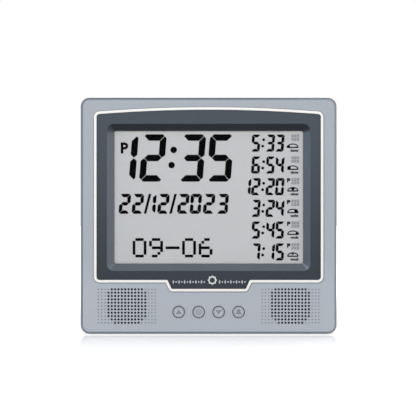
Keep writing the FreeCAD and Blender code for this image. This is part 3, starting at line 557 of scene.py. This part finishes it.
def settle(piece):  # smooth faces, with the sharp edges kept
    work = bmesh.new()
    work.from_mesh(piece.data)
    limit = math.radians(meshLook["sharp"])
    for face in work.faces:
        face.smooth = True
    for edge in work.edges:
        edge.smooth = len(edge.link_faces) == 2 and edge.calc_face_angle() < limit
    work.to_mesh(piece.data)
    work.free()


def evenNormals(piece):
    modifier = piece.modifiers.new("evenNormals", "WEIGHTED_NORMAL")
    modifier.keep_sharp = True
    modifier.weight = meshLook["weight"]


def softEdges(piece, width, segments=2):
    weld = piece.modifiers.new("weld", "WELD")
    weld.merge_threshold = meshLook["weld"]
    bevel = piece.modifiers.new("softEdges", "BEVEL")
    bevel.width = width * mm
    bevel.segments = segments
    bevel.limit_method = "ANGLE"
    bevel.angle_limit = math.radians(meshLook["bevelAngle"])
    bevel.use_clamp_overlap = True
    evenNormals(piece)


def recut(name, node, cutters, slotName):  # a copy of a moulding, cut once more
    mesh = cadNodes[node].data.copy()
    work = bmesh.new()
    work.from_mesh(mesh)
    bmesh.ops.remove_doubles(work, verts=work.verts, dist=meshLook["weld"])
    flat = math.radians(meshLook["flat"])
    bmesh.ops.dissolve_limit(work, angle_limit=flat, verts=work.verts, edges=work.edges)
    work.to_mesh(mesh)
    work.free()
    piece = bpy.data.objects.new(name, mesh)
    bpy.context.scene.collection.objects.link(piece)
    cut = piece.modifiers.new("cut", "BOOLEAN")
    cut.object = cutters
    cut.solver = "EXACT"
    bpy.context.view_layer.update()
    graph = bpy.context.evaluated_depsgraph_get()
    cutMesh = bpy.data.meshes.new_from_object(piece.evaluated_get(graph))
    piece.modifiers.clear()
    piece.data = cutMesh
    bpy.data.objects.remove(cutters)
    if "custom_normal" in cutMesh.attributes:
        cutMesh.attributes.remove(cutMesh.attributes["custom_normal"])
    cutMesh.materials.clear()
    cutMesh.materials.append(materials[slotName])
    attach(piece, "case")
    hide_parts(node)
    return piece


# the front moulding, with round grille holes and the blind dimples around them

grille = dict(side=74.1, height=25.2, pitch=3.03, columns=18, middleColumn=8.5, middleRow=5,
              hole=2.05, dimple=1.3, dimpleDepth=0.5, sides=12,
              open=(10, 12, 12, 12, 12, 12, 12, 12, 12, 10, 8),  # holes in each row
              face=-16.6, ribsBack=-10.9, over=1, reach=28, rise=18.5, skin=0.05)


def makeGrilleCutters():
    work = bmesh.new()
    for side in (-1, 1):
        for row, count in enumerate(grille["open"]):
            z = grille["height"] + grille["pitch"] * (grille["middleRow"] - row)
            for column in range(grille["columns"]):
                offset = column - grille["middleColumn"]
                x = side * grille["side"] + grille["pitch"] * offset
                through = abs(offset) < count / 2
                size = grille["hole"] if through else grille["dimple"]
                depth = grille["ribsBack"] if through else grille["face"] + grille["dimpleDepth"]
                outline = circle(x, z, size / 2, grille["sides"])
                addPlate(work, outline, grille["face"] - grille["over"], depth)
    return newPiece("grilleCutters", work)


def makeCaseFront():
    piece = recut("caseFront", "front_bezel", makeGrilleCutters(), "case_silver")
    for shade in ("grilleShade", "dimpleShade"):
        piece.data.materials.append(materials[shade])
    face, skin = grille["face"], grille["skin"]
    floor = face + grille["dimpleDepth"]
    for polygon in piece.data.polygons:  # painted shade inside the holes, a lighter painted shade in the dimples
        x, y, z = (part / mm for part in polygon.center)
        across, up = abs(abs(x) - grille["side"]), abs(z - grille["height"])
        if across < grille["reach"] and up < grille["rise"] and y > face + skin:
            polygon.material_index = 2 if y < floor + skin else 1
    settle(piece)
    evenNormals(piece)
    return piece


caseFront = makeCaseFront()
print("case front:", len(caseFront.data.polygons), "faces")


# the display's surround, its sloped border turned smoothly round the corners

slope = dict(face=-16.0, floor=-11.0, half=85.9, bottom=63.3, top=184.0, run=6.25, mouthCorner=6.25,
             windowCorner=1.8, spare=0.02, over=0.6, under=0.1, steps=9, edge=0.35)


def makeSlopeCutter():
    work = bmesh.new()
    loops = []
    for y in (slope["face"] - slope["over"], slope["floor"] + slope["under"]):
        # share is 1 at the mouth and 0 at the window
        share = (slope["floor"] - y) / (slope["floor"] - slope["face"])
        out = slope["run"] * share + slope["spare"]
        corner = slope["windowCorner"] + (slope["mouthCorner"] - slope["windowCorner"]) * share
        half, low, high = slope["half"] + out, slope["bottom"] - out, slope["top"] + out
        loops.append(addLoop(work, roundRectangle(-half, half, low, high, corner, slope["steps"]), y))
    mouth, window = loops
    joinLoops(work, mouth, window)
    work.faces.new(mouth)
    work.faces.new(window[::-1])
    return newPiece("slopeCutter", work)


displayFrame = recut("displayFrame", "display_surround", makeSlopeCutter(), "panel_grey")
for polygon in displayFrame.data.polygons:
    polygon.use_smooth = True
softEdges(displayFrame, slope["edge"])

softWidths = {
    "trim_ring": (0.75, 3),  # width and segments
    "rear_cover": (0.2, 2),
    "battery_door": (0.25, 2),
    "stand_leg": (0.3, 2),
    "dc_jack": (0.15, 2),
    "button_up": (0.5, 2),
    "button_set": (0.5, 2),
    "button_down": (0.5, 2),
    "button_alarm": (0.5, 2),
}
for name, (width, segments) in softWidths.items():
    softEdges(cadNodes[name], width, segments)


# a painted drop shadow around the outside of the trim, a little wider below and on the right

trim = dict(half=103.9, apex=205.37, arch=4.25, base=46.5, tabBase=38.4, tabTop=38.8, tabBottom=35.1,
            corner=5.2, tabCorner=3.6, shoulder=1.2, steps=6, archSteps=24, archMargin=9,
            near=0.03, far=0.62, shift=(0.12, -0.16), front=-16.62, back=-16.4)


def trimPath(grow):  # the trim's outline, moved out on every side
    radius = (trim["half"] ** 2 + trim["arch"] ** 2) / (2 * trim["arch"]) + grow
    middle = trim["apex"] + grow - radius
    side = trim["half"] + grow
    drop = trim["base"] - trim["tabBase"]
    slant = trim["tabTop"] - trim["tabBottom"]
    widen = (math.hypot(slant, drop) - slant) / drop * grow
    base, tabBase = trim["base"] - grow, trim["tabBase"] - grow
    upper, lower = trim["tabTop"] + widen, trim["tabBottom"] + widen
    top = middle + math.sqrt(radius ** 2 - side ** 2)
    corner, tabCorner, shoulder = trim["corner"] + grow, trim["tabCorner"] + grow, trim["shoulder"]
    corners = [(-side, base, corner), (-upper, base, shoulder), (-lower, tabBase, tabCorner),
               (lower, tabBase, tabCorner), (upper, base, shoulder), (side, base, corner),
               (side, top, corner)]
    for i in range(1, trim["archSteps"]):
        x = side * (1 - 2 * i / trim["archSteps"])
        if abs(x) < side - trim["archMargin"]:
            corners.append((x, middle + math.sqrt(radius ** 2 - x ** 2), 0))
    corners.append((-side, top, corner))
    return roundedPath(corners, trim["steps"])


def makeTrimDropShadow():
    work = bmesh.new()
    front, back = trim["front"], trim["back"]
    rings = []
    for (ax, az), (bx, bz) in zip(trimPath(trim["near"]), moved(trimPath(trim["far"]), *trim["shift"])):
        spots = ((ax, front, az), (bx, front, bz), (bx, back, bz), (ax, back, az))
        rings.append([addPoint(work, *spot) for spot in spots])
    for here, there in zip(rings, rings[1:] + rings[:1]):
        joinLoops(work, here, there)
    finishPiece("trimDropShadow", work, "trimShadow", "case")


makeTrimDropShadow()


# the display: slanted seven-segment numbers and small marks, just behind the window

display = dict(front=-9.89, back=-9.84, slant=0.078, waist=0.4, dotSides=16, bowl=0.32, bowlSteps=8)
segmentsLit = {"0": "abcdef", "1": "bc", "2": "abged", "3": "abgcd", "4": "fgbc", "5": "afgcd",
               "6": "afgedc", "7": "abc", "8": "abcdefg", "9": "abcdfg"}


def segmentOutlines(width, height, stroke, cut):
    half, mid, waist = stroke / 2, height / 2, stroke * display["waist"]
    right = width - stroke
    top = height - stroke
    bar = [(cut, height), (width - cut, height), (width - cut / 2, height - cut / 2), (right, top),
           (stroke, top), (cut / 2, height - cut / 2)]
    post = [(width - cut / 2, height - cut / 2), (width, height - cut), (width, mid + waist),
            (width - half, mid), (right, mid + half), (right, top)]
    middle = [(half, mid), (stroke, mid + half), (right, mid + half), (width - half, mid),
              (right, mid - half), (stroke, mid - half)]

    def flipped(points, across, over):
        return [(width - x if across else x, height - z if over else z) for x, z in points]

    return {"a": bar, "b": post, "c": flipped(post, False, True), "d": flipped(bar, False, True),
            "e": flipped(post, True, True), "f": flipped(post, True, False), "g": middle}


def digitOutlines(text, lefts, base, width, height, stroke, gap, cut):
    shapes = segmentOutlines(width, height, stroke, cut)
    outlines = []
    for character, left in zip(text, lefts):
        for segment in segmentsLit[character]:
            outline = inset(shapes[segment], gap / 2)
            outlines.append([(left + x + z * display["slant"], base + z) for x, z in outline])
    return outlines


def letterP(left, right, base, top, stroke):
    radius = (top - base) * display["bowl"]
    x, z = right - radius, top - radius
    stem, low = left + stroke, top - 2 * radius
    outlines = [rectangle(left, base, stem, top), rectangle(stem, top - stroke, x, top),
                rectangle(stem, low, x, low + stroke)]
    steps = display["bowlSteps"]
    for i in range(steps):
        a, b = (math.pi * (j / steps - 0.5) for j in (i, i + 1))
        ends = ((radius - stroke, a), (radius, a), (radius, b), (radius - stroke, b))
        outlines.append([(x + r * math.cos(t), z + r * math.sin(t)) for r, t in ends])
    return outlines


def addMarks(name, outlines, ink="segmentBlack"):
    addPlates(name, outlines, display["front"], display["back"], ink, "case")


clockTime = dict(text="1235", lefts=(-89.05, -63.55, -27.75, -2.25), base=137.75,
                 width=22.4, height=43.45, stroke=6.3, gap=0.42, cut=3.7)
clockSigns = dict(colon=((-31.8, 166.8), (-33.7, 153.0)), dot=2.95,
                  letter=(-79.9, -73.1, 163.5, 173.6, 2.35))  # the P: left, right, base, top, stroke
addMarks("bigTime", digitOutlines(**clockTime))
addMarks("bigTimeColon", [circle(x, z, clockSigns["dot"]) for x, z in clockSigns["colon"]])
addMarks("bigTimeHalf", letterP(*clockSigns["letter"]))

calendar = dict(text="22122023", lefts=(-82.1, -70.2, -58.85, -46.95, -28.95, -17.6, -5.5, 6.85),
                base=108.6, width=10.4, height=18.4, stroke=3.4, gap=0.25, cut=1.8)
slash = dict(lefts=(-59.0, -35.8), low=108.8, high=126.8, wide=2.3, lean=4.6)
slashOutlines = []
for left in slash["lefts"]:
    right, lean = left + slash["wide"], slash["lean"]
    slashOutlines.append([(left, slash["low"]), (right, slash["low"]),
                          (right + lean, slash["high"]), (left + lean, slash["high"])])
addMarks("calendar", digitOutlines(**calendar) + slashOutlines)

rows = dict(texts=("533", "654", "1220", "324", "545", "715"), lefts=(29.9, 38.3, 51.4, 60.0),
            centres=(172.8, 152.9, 133.2, 113.5, 93.8, 73.9), low=-7.7,
            colon=((50.0, 3.2), (49.1, -2.6)), dot=1.3,
            letter=(71.2, 74.3, 4.0, 7.9, 1.15), afternoon=(2, 3, 4, 5))  # rows with a P
rowDigits = dict(width=8.0, height=15.75, stroke=2.7, gap=0.16, cut=1.3)


def rowOutlines(number, text, centre):
    lefts = rows["lefts"][-len(text):]
    outlines = digitOutlines(text, lefts, centre + rows["low"], **rowDigits)
    outlines += [circle(x, centre + z, rows["dot"], display["dotSides"]) for x, z in rows["colon"]]
    if number in rows["afternoon"]:
        left, right, base, top, stroke = rows["letter"]
        outlines += letterP(left, right, centre + base, centre + top, stroke)
    return outlines


sunMarks = dict(middle=76.5, horizon=5.0, low=-4.3, bar=1.15, rise=2.0, reach=4.0, stroke=1.0, steps=12,
                angles=(180, 150, 90, 45, 0, None), sun=1.6, sunRise=0.8,
                star=(1.7, 0.6), tips=4, starLift=1.45,
                tally=(74.5, 1.2, 0.95, 1.8), tallyLow=-7.7, tallyCount=6, ownBar=1.3)


def sunOutlines(number, centre, angle):
    x, z = sunMarks["middle"], centre + sunMarks["low"]
    low = z + sunMarks["bar"]
    reach, rise = sunMarks["reach"], sunMarks["rise"]
    outlines = [rectangle(x - sunMarks["horizon"], z, x + sunMarks["horizon"], low)]
    for i in range(sunMarks["steps"]):  # the sun's path over the horizon
        ends = []
        for turn, grown in ((i, 0), (i + 1, 0), (i + 1, 1), (i, 1)):
            way, more = math.pi * turn / sunMarks["steps"], sunMarks["stroke"] * grown
            ends.append((x + (reach + more) * math.cos(way), low + (rise + more) * math.sin(way)))
        outlines.append(ends)
    if angle is None:  # a star for the night
        outlines.append(starOutline(x, low + sunMarks["starLift"], *sunMarks["star"], sunMarks["tips"]))
    else:  # the sun, cut off at the horizon
        way = math.radians(angle)
        spot = (x + reach * math.cos(way), low + rise * sunMarks["sunRise"] * math.sin(way))
        sun = circle(*spot, sunMarks["sun"], display["dotSides"])
        outlines.append([(a, max(b, z)) for a, b in sun])
    start, pitch, wide, high = sunMarks["tally"]
    for i in range(sunMarks["tallyCount"]):  # a row of bars, the line's own one taller
        left, base = start + pitch * i, centre + sunMarks["tallyLow"]
        tall = sunMarks["ownBar"] if i == number else 1
        outlines.append(rectangle(left, base, left + wide, base + high * tall))
    return outlines


ghosts = dict(lefts=(75.1, 77.6, 80.1), lines=(5.4, 2.3))  # unlit segments beside the rows
ghostDigits = dict(width=2.05, height=2.6, stroke=0.6, gap=0.05, cut=0.2)
rowTimes, rowMarks, rowGhosts = [], [], []
for number, centre in enumerate(rows["centres"]):
    rowTimes += rowOutlines(number, rows["texts"][number], centre)
    rowMarks += sunOutlines(number, centre, sunMarks["angles"][number])
    for line in ghosts["lines"]:
        rowGhosts += digitOutlines("888", ghosts["lefts"], centre + line, **ghostDigits)
addMarks("rowTimes", rowTimes)
addMarks("rowMarks", rowMarks)
addMarks("rowGhosts", rowGhosts, "segmentGhost")

dots = dict(text="09-06", left=-69.1, base=69.1, wide=2.52, high=2.5, pitch=15.0, gap=0.02)
dotCharacters = {
    "0": ("01110", "10001", "10001", "10001", "10001", "10001", "01110"),
    "6": ("00110", "01000", "10000", "11110", "10001", "10001", "01110"),
    "9": ("01110", "10001", "10001", "01111", "00001", "00010", "01100"),
    "-": ("00000", "00000", "00000", "11111", "00000", "00000", "00000"),
}
dotOutlines = []
for place, character in enumerate(dots["text"]):
    pattern = dotCharacters[character]
    for row, bits in enumerate(pattern):
        z = dots["base"] + dots["high"] * (len(pattern) - 1 - row)
        for column, bit in enumerate(bits):
            if bit == "1":
                x = dots["left"] + dots["pitch"] * place + dots["wide"] * column
                right, top = x + dots["wide"] - dots["gap"], z + dots["high"] - dots["gap"]
                dotOutlines.append(rectangle(x, z, right, top))
addMarks("dotNumbers", dotOutlines)


# the clear window and the fine dark edge around it

window = dict(line=0.3, corner=1.8, steps=6, front=-11.04, back=-10.99,
              paneBack=-9.95, paneCorner=1.2, paneSteps=5)


def makePane():  # a hair thinner than its pocket, so that it clears the film
    low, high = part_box("display_lens")
    sides = (value / mm for value in (low.x, high.x, low.z, high.z))
    outline = roundRectangle(*sides, window["paneCorner"], window["paneSteps"])
    front, back = low.y / mm, window["paneBack"]
    pane = addPlates("pane", [outline], front, back, "lens_clear", "case")
    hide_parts("display_lens")


def makeWindowEdge():
    loops = []
    for grow in (0, -window["line"]):
        half, low, high = slope["half"] + grow, slope["bottom"] - grow, slope["top"] + grow
        loops.append(roundRectangle(-half, half, low, high, window["corner"], window["steps"]))
    outer, inner = loops
    nextOuter, nextInner = outer[1:] + outer[:1], inner[1:] + inner[:1]
    strips = [list(strip) for strip in zip(outer, nextOuter, nextInner, inner)]
    addPlates("windowEdge", strips, window["front"], window["back"], "windowEdge", "case")


makePane()
makeWindowEdge()
print("display made")


# print on the tab: a star between two rows of diamonds

tab = dict(height=47.0, front=-16.03, back=-15.98, pitch=2.55, large=1.95, small=0.9, wide=0.85,
           rows=((-32.0, 12), (9.9, 10)),  # where each row starts, and how many diamonds it has
           starPlace=(3.3, 48.6), star=4.4, tips=8, notch=0.76, hub=2.9, hubFront=-16.06)


def makeTabPrint():
    z, small = tab["height"], tab["small"]
    diamonds = []
    for start, count in tab["rows"]:
        for i in range(count):
            x = start + tab["pitch"] * i
            wide, high = (small, small) if i % 2 else (tab["wide"], tab["large"])
            diamonds.append([(x - wide, z), (x, z - high), (x + wide, z), (x, z + high)])
    stars = [starOutline(*tab["starPlace"], size, size * tab["notch"], tab["tips"])
             for size in (tab["star"], tab["hub"])]
    addPlates("tabPrint", diamonds, tab["front"], tab["back"], "panelInk", "case")
    addPlates("tabStar", stars[:1], tab["front"], tab["back"], "starInk", "case")
    addPlates("tabStarHub", stars[1:], tab["hubFront"], tab["back"], "panel_grey", "case")


makeTabPrint()


# buttons: a small mark on each cap, and a dark ring around it: painted shade in the gap and a printed
# rim on the cap's face

buttons = dict(height=19.8, pitch=18.07, middle=1.5, markFront=-17.42, markBack=-17.37,
               target=(1.8, 2.6),  # the set mark's ring, around its dot
               # the ring is a sleeve of painted shade in the gap round the cap, with a printed rim on
               # its face
               ring=[(4.93, -14.1), (4.93, -17.3), (4.0, -17.38), (4.0, -17.41), (4.93, -17.37),
                     (5.4, -17.0), (5.55, -16.9), (5.55, -14.1)])  # radius and depth
bell = [(-2.9, -1.8), (2.9, -1.8), (2.9, -1.2), (2.0, -0.5), (1.8, 1.4), (1.0, 2.6), (-1.0, 2.6),
        (-1.8, 1.4), (-2.0, -0.5), (-2.9, -1.2)]
buttonMarks = {
    "up": [[(-2.8, -1.8), (2.8, -1.8), (0, 2.6)]],
    "set": [circle(0, 0, 0.9, 12)],
    "down": [[(-2.8, 1.8), (0, -2.6), (2.8, 1.8)]],
    "alarm": [bell, circle(0, -2.6, 0.55, 12)],
}


def makeButton(number, name, shapes):
    x, z = buttons["pitch"] * (number - buttons["middle"]), buttons["height"]
    front, back = buttons["markFront"], buttons["markBack"]
    work = bmesh.new()
    for shape in shapes:
        addPlate(work, moved(shape, x, z), front, back)
    if name == "set":
        inner, outer = buttons["target"]
        addLathe(work, (x, 0, z), [(inner, front), (outer, front), (outer, back), (inner, back)])
    finishPiece("mark_" + name, work, "buttonInk", "button_" + name)
    work = bmesh.new()
    addLathe(work, (x, 0, z), buttons["ring"])
    settle(finishPiece("ring_" + name, work, "buttonRing", "button_" + name))


for number, (name, shapes) in enumerate(buttonMarks.items()):
    makeButton(number, name, shapes)
print("buttons made")


# fasteners: cross-recessed heads at the bottom of the wells in the back

screws = dict(places=[(x, z) for x in (-107.4, 107.4) for z in (8.6, 205.4)],
              seat=8.0, head=1.9, sides=24,
              profile=[(0.05, -12.0), (1.0, -10.5), (1.25, -9.0), (1.25, 0), (2.2, 0), (2.2, 1.045),
                       (1.892, 1.615), (1.452, 1.9)],  # radius, and distance from the seat
              slot=0.34, slotReach=1.3, slotDepth=1.1, slotFloor=0.7)


def makeScrews():
    work = bmesh.new()
    slot, reach = screws["slot"], screws["slotReach"]
    cross = []
    for x, z in ((1, 1), (-1, 1), (-1, -1), (1, -1)):
        quarter = [(x * reach, z * slot), (x * slot, z * slot), (x * slot, z * reach)]
        cross += quarter if x * z > 0 else quarter[::-1]
    small = [(x * screws["slotFloor"], z * screws["slotFloor"]) for x, z in cross]
    top = screws["seat"] + screws["head"]
    for x, z in screws["places"]:
        rings = [addLoop(work, circle(x, z, radius, screws["sides"]), screws["seat"] + along)
                 for radius, along in screws["profile"]]
        for here, there in zip(rings, rings[1:]):
            joinLoops(work, here, there)
        work.faces.new(rings[0])
        mouth = addLoop(work, moved(cross, x, z), top)
        floor = addLoop(work, moved(small, x, z), top - screws["slotDepth"])
        edges = []
        for loop in (rings[-1], mouth):
            for a, b in zip(loop, loop[1:] + loop[:1]):
                edges.append(work.edges.get((a, b)) or work.edges.new((a, b)))
        bmesh.ops.triangle_fill(work, edges=edges, use_beauty=True)
        joinLoops(work, mouth, floor)
        work.faces.new(floor)
    piece = finishPiece("screws", work, "steel", "case")
    settle(piece)
    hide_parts("case_screws")


makeScrews()


# cells: sleeve, shoulder and cap turned about their axis

cells = dict(heights=(160.85, 145.85, 130.85), depth=7.85, sides=40,
             flatEnd=[(0.05, 0.25), (5.65, 0.25), (5.95, 0), (6.75, 0), (7.25, 0.6)],
             capEnd=[(7.25, 2.6), (6.75, 1.9), (5.95, 1.9), (5.75, 1.6), (2.9, 1.6), (2.75, 0.2),
                     (2.5, 0), (0.05, 0)])  # radius, and distance from that end


def makeCell(number, z):
    name = f"battery_cell_{number + 1}"
    low, high = (corner.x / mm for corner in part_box(name))
    length = high - low
    profile = cells["flatEnd"] + [(radius, length - along) for radius, along in cells["capEnd"]]
    start = low
    if number % 2:  # every second cell points the other way
        start = high
        profile = [(radius, -along) for radius, along in profile]
    work = bmesh.new()
    addLathe(work, (start, cells["depth"], z), profile, cells["sides"], "x")
    piece = finishPiece(f"cell_{number + 1}", work, "cell", "case")
    settle(piece)
    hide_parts(name)


for number, z in enumerate(cells["heights"]):
    makeCell(number, z)
print("fasteners and cells made")


# stage, lamps and camera

studio = dict(world=0.5, aim=(0, 0, 0.107))
floorLook = dict(reach=12, drop=-0.0006, colour=(236, 237, 239), lift=0.4, farLift=1.0, far=(0.35, 1.2),
                 gloss=0.444, glossIor=1.5, glossBlur=0.02, glossFade=(0.02, 0.24),  # the faint mirror
                 line=(0.026, 0.034), lineEnd=(0.12, 0.14), lineLift=0.15)  # matt right beside the base, and lit there by painted light
lamps = {
    "front": dict(place=(-0.3, -2.2, 0.6), size=1.6, power=24),
    "back": dict(place=(0.4, 2.1, 0.9), size=1.5, power=22),
    "left": dict(place=(-1.7, -0.3, 0.6), size=1.1, power=5),
    "right": dict(place=(1.7, -0.3, 0.6), size=1.1, power=6.5),
}
cameraLook = dict(place=(-0.0006, -2.0166, 0.1140), lens=191.1, sensor=36)


def seenRay(start):  # 1 for rays from the camera, mirrors and glass
    names = ("Is Camera Ray", "Is Glossy Ray", "Is Transmission Ray")
    camera, glossy, through = (start.node("LightPath", out=name) for name in names)
    return start.math("ADD", camera + glossy, through, clamp=True)


def makeWorld():
    world = bpy.data.worlds.new("studio")
    bpy.context.scene.world = world
    world.use_nodes = True
    tree = world.node_tree
    backdrop = tree.nodes["Background"]
    strength = studio["world"] + seenRay(Wire(tree)) * (1 - studio["world"])
    tree.links.new(strength.socket, backdrop.inputs["Strength"])
    backdrop.inputs["Color"].default_value = grey(1)


def floorPaint(start):
    look = floorLook
    where = start.node("TexCoord", out="Object")
    across, ahead = abs(where.part("x")), abs(where.part("y"))
    distance = start.node("VectorMath", {"operation": "LENGTH"}, {0: where}, out=1)
    # painted light: a strip right beside the base is lifted, taking out its shadow
    away = ahead.step(*look["line"]).atLeast(across.step(*look["lineEnd"]))
    lift = look["lift"] + distance.step(*look["far"]) * look["farLift"] + (1 - away) * look["lineLift"]
    matt = start.node("BsdfDiffuse", {}, {"Color": linear(*look["colour"])})
    glow = start.node("Emission", {}, {"Color": grey(1), "Strength": seenRay(start) * lift})
    lifted = start.node("AddShader", {}, {0: matt, 1: glow})
    shine = start.node("BsdfAnisotropic", {}, {"Color": grey(1), "Roughness": look["glossBlur"]})
    near = 1 - ahead.step(*look["glossFade"])
    gleam = start.node("Fresnel", {}, {"IOR": look["glossIor"]}) * near * away
    return start.node("MixShader", {}, {0: gleam * look["gloss"], 1: lifted, 2: shine})


def makeFloor():
    mesh = bpy.data.meshes.new("floor")
    reach, z = floorLook["reach"], floorLook["drop"]
    corners = [(-reach, -reach, z), (reach, -reach, z), (reach, reach, z), (-reach, reach, z)]
    mesh.from_pydata(corners, [], [(0, 1, 2, 3)])
    floor = bpy.data.objects.new("floor", mesh)
    bpy.context.scene.collection.objects.link(floor)
    material = bpy.data.materials.new("floorWhite")
    material.use_nodes = True
    tree = material.node_tree
    tree.nodes.remove(tree.nodes["Principled BSDF"])
    tree.links.new(floorPaint(Wire(tree)).socket, tree.nodes["Material Output"].inputs["Surface"])
    mesh.materials.append(material)


def makeLamps():
    for name, lamp in lamps.items():
        light = bpy.data.lights.new(name, "AREA")
        light.size = lamp["size"]
        light.energy = lamp["power"]
        item = bpy.data.objects.new(name, light)
        item.location = lamp["place"]
        toAim = Vector(studio["aim"]) - Vector(lamp["place"])
        item.rotation_euler = toAim.to_track_quat("-Z", "Y").to_euler()
        bpy.context.scene.collection.objects.link(item)


def makeCamera():
    camera = bpy.data.objects.new("camera", bpy.data.cameras.new("camera"))
    camera.data.lens = cameraLook["lens"]
    camera.data.sensor_width = cameraLook["sensor"]
    camera.location = cameraLook["place"]
    camera.rotation_euler = (math.radians(90), 0, 0)
    bpy.context.scene.collection.objects.link(camera)
    bpy.context.scene.camera = camera


makeWorld()
makeFloor()
makeLamps()
makeCamera()
bpy.context.scene.view_settings.view_transform = "Standard"
print("stage, lamps and camera made")
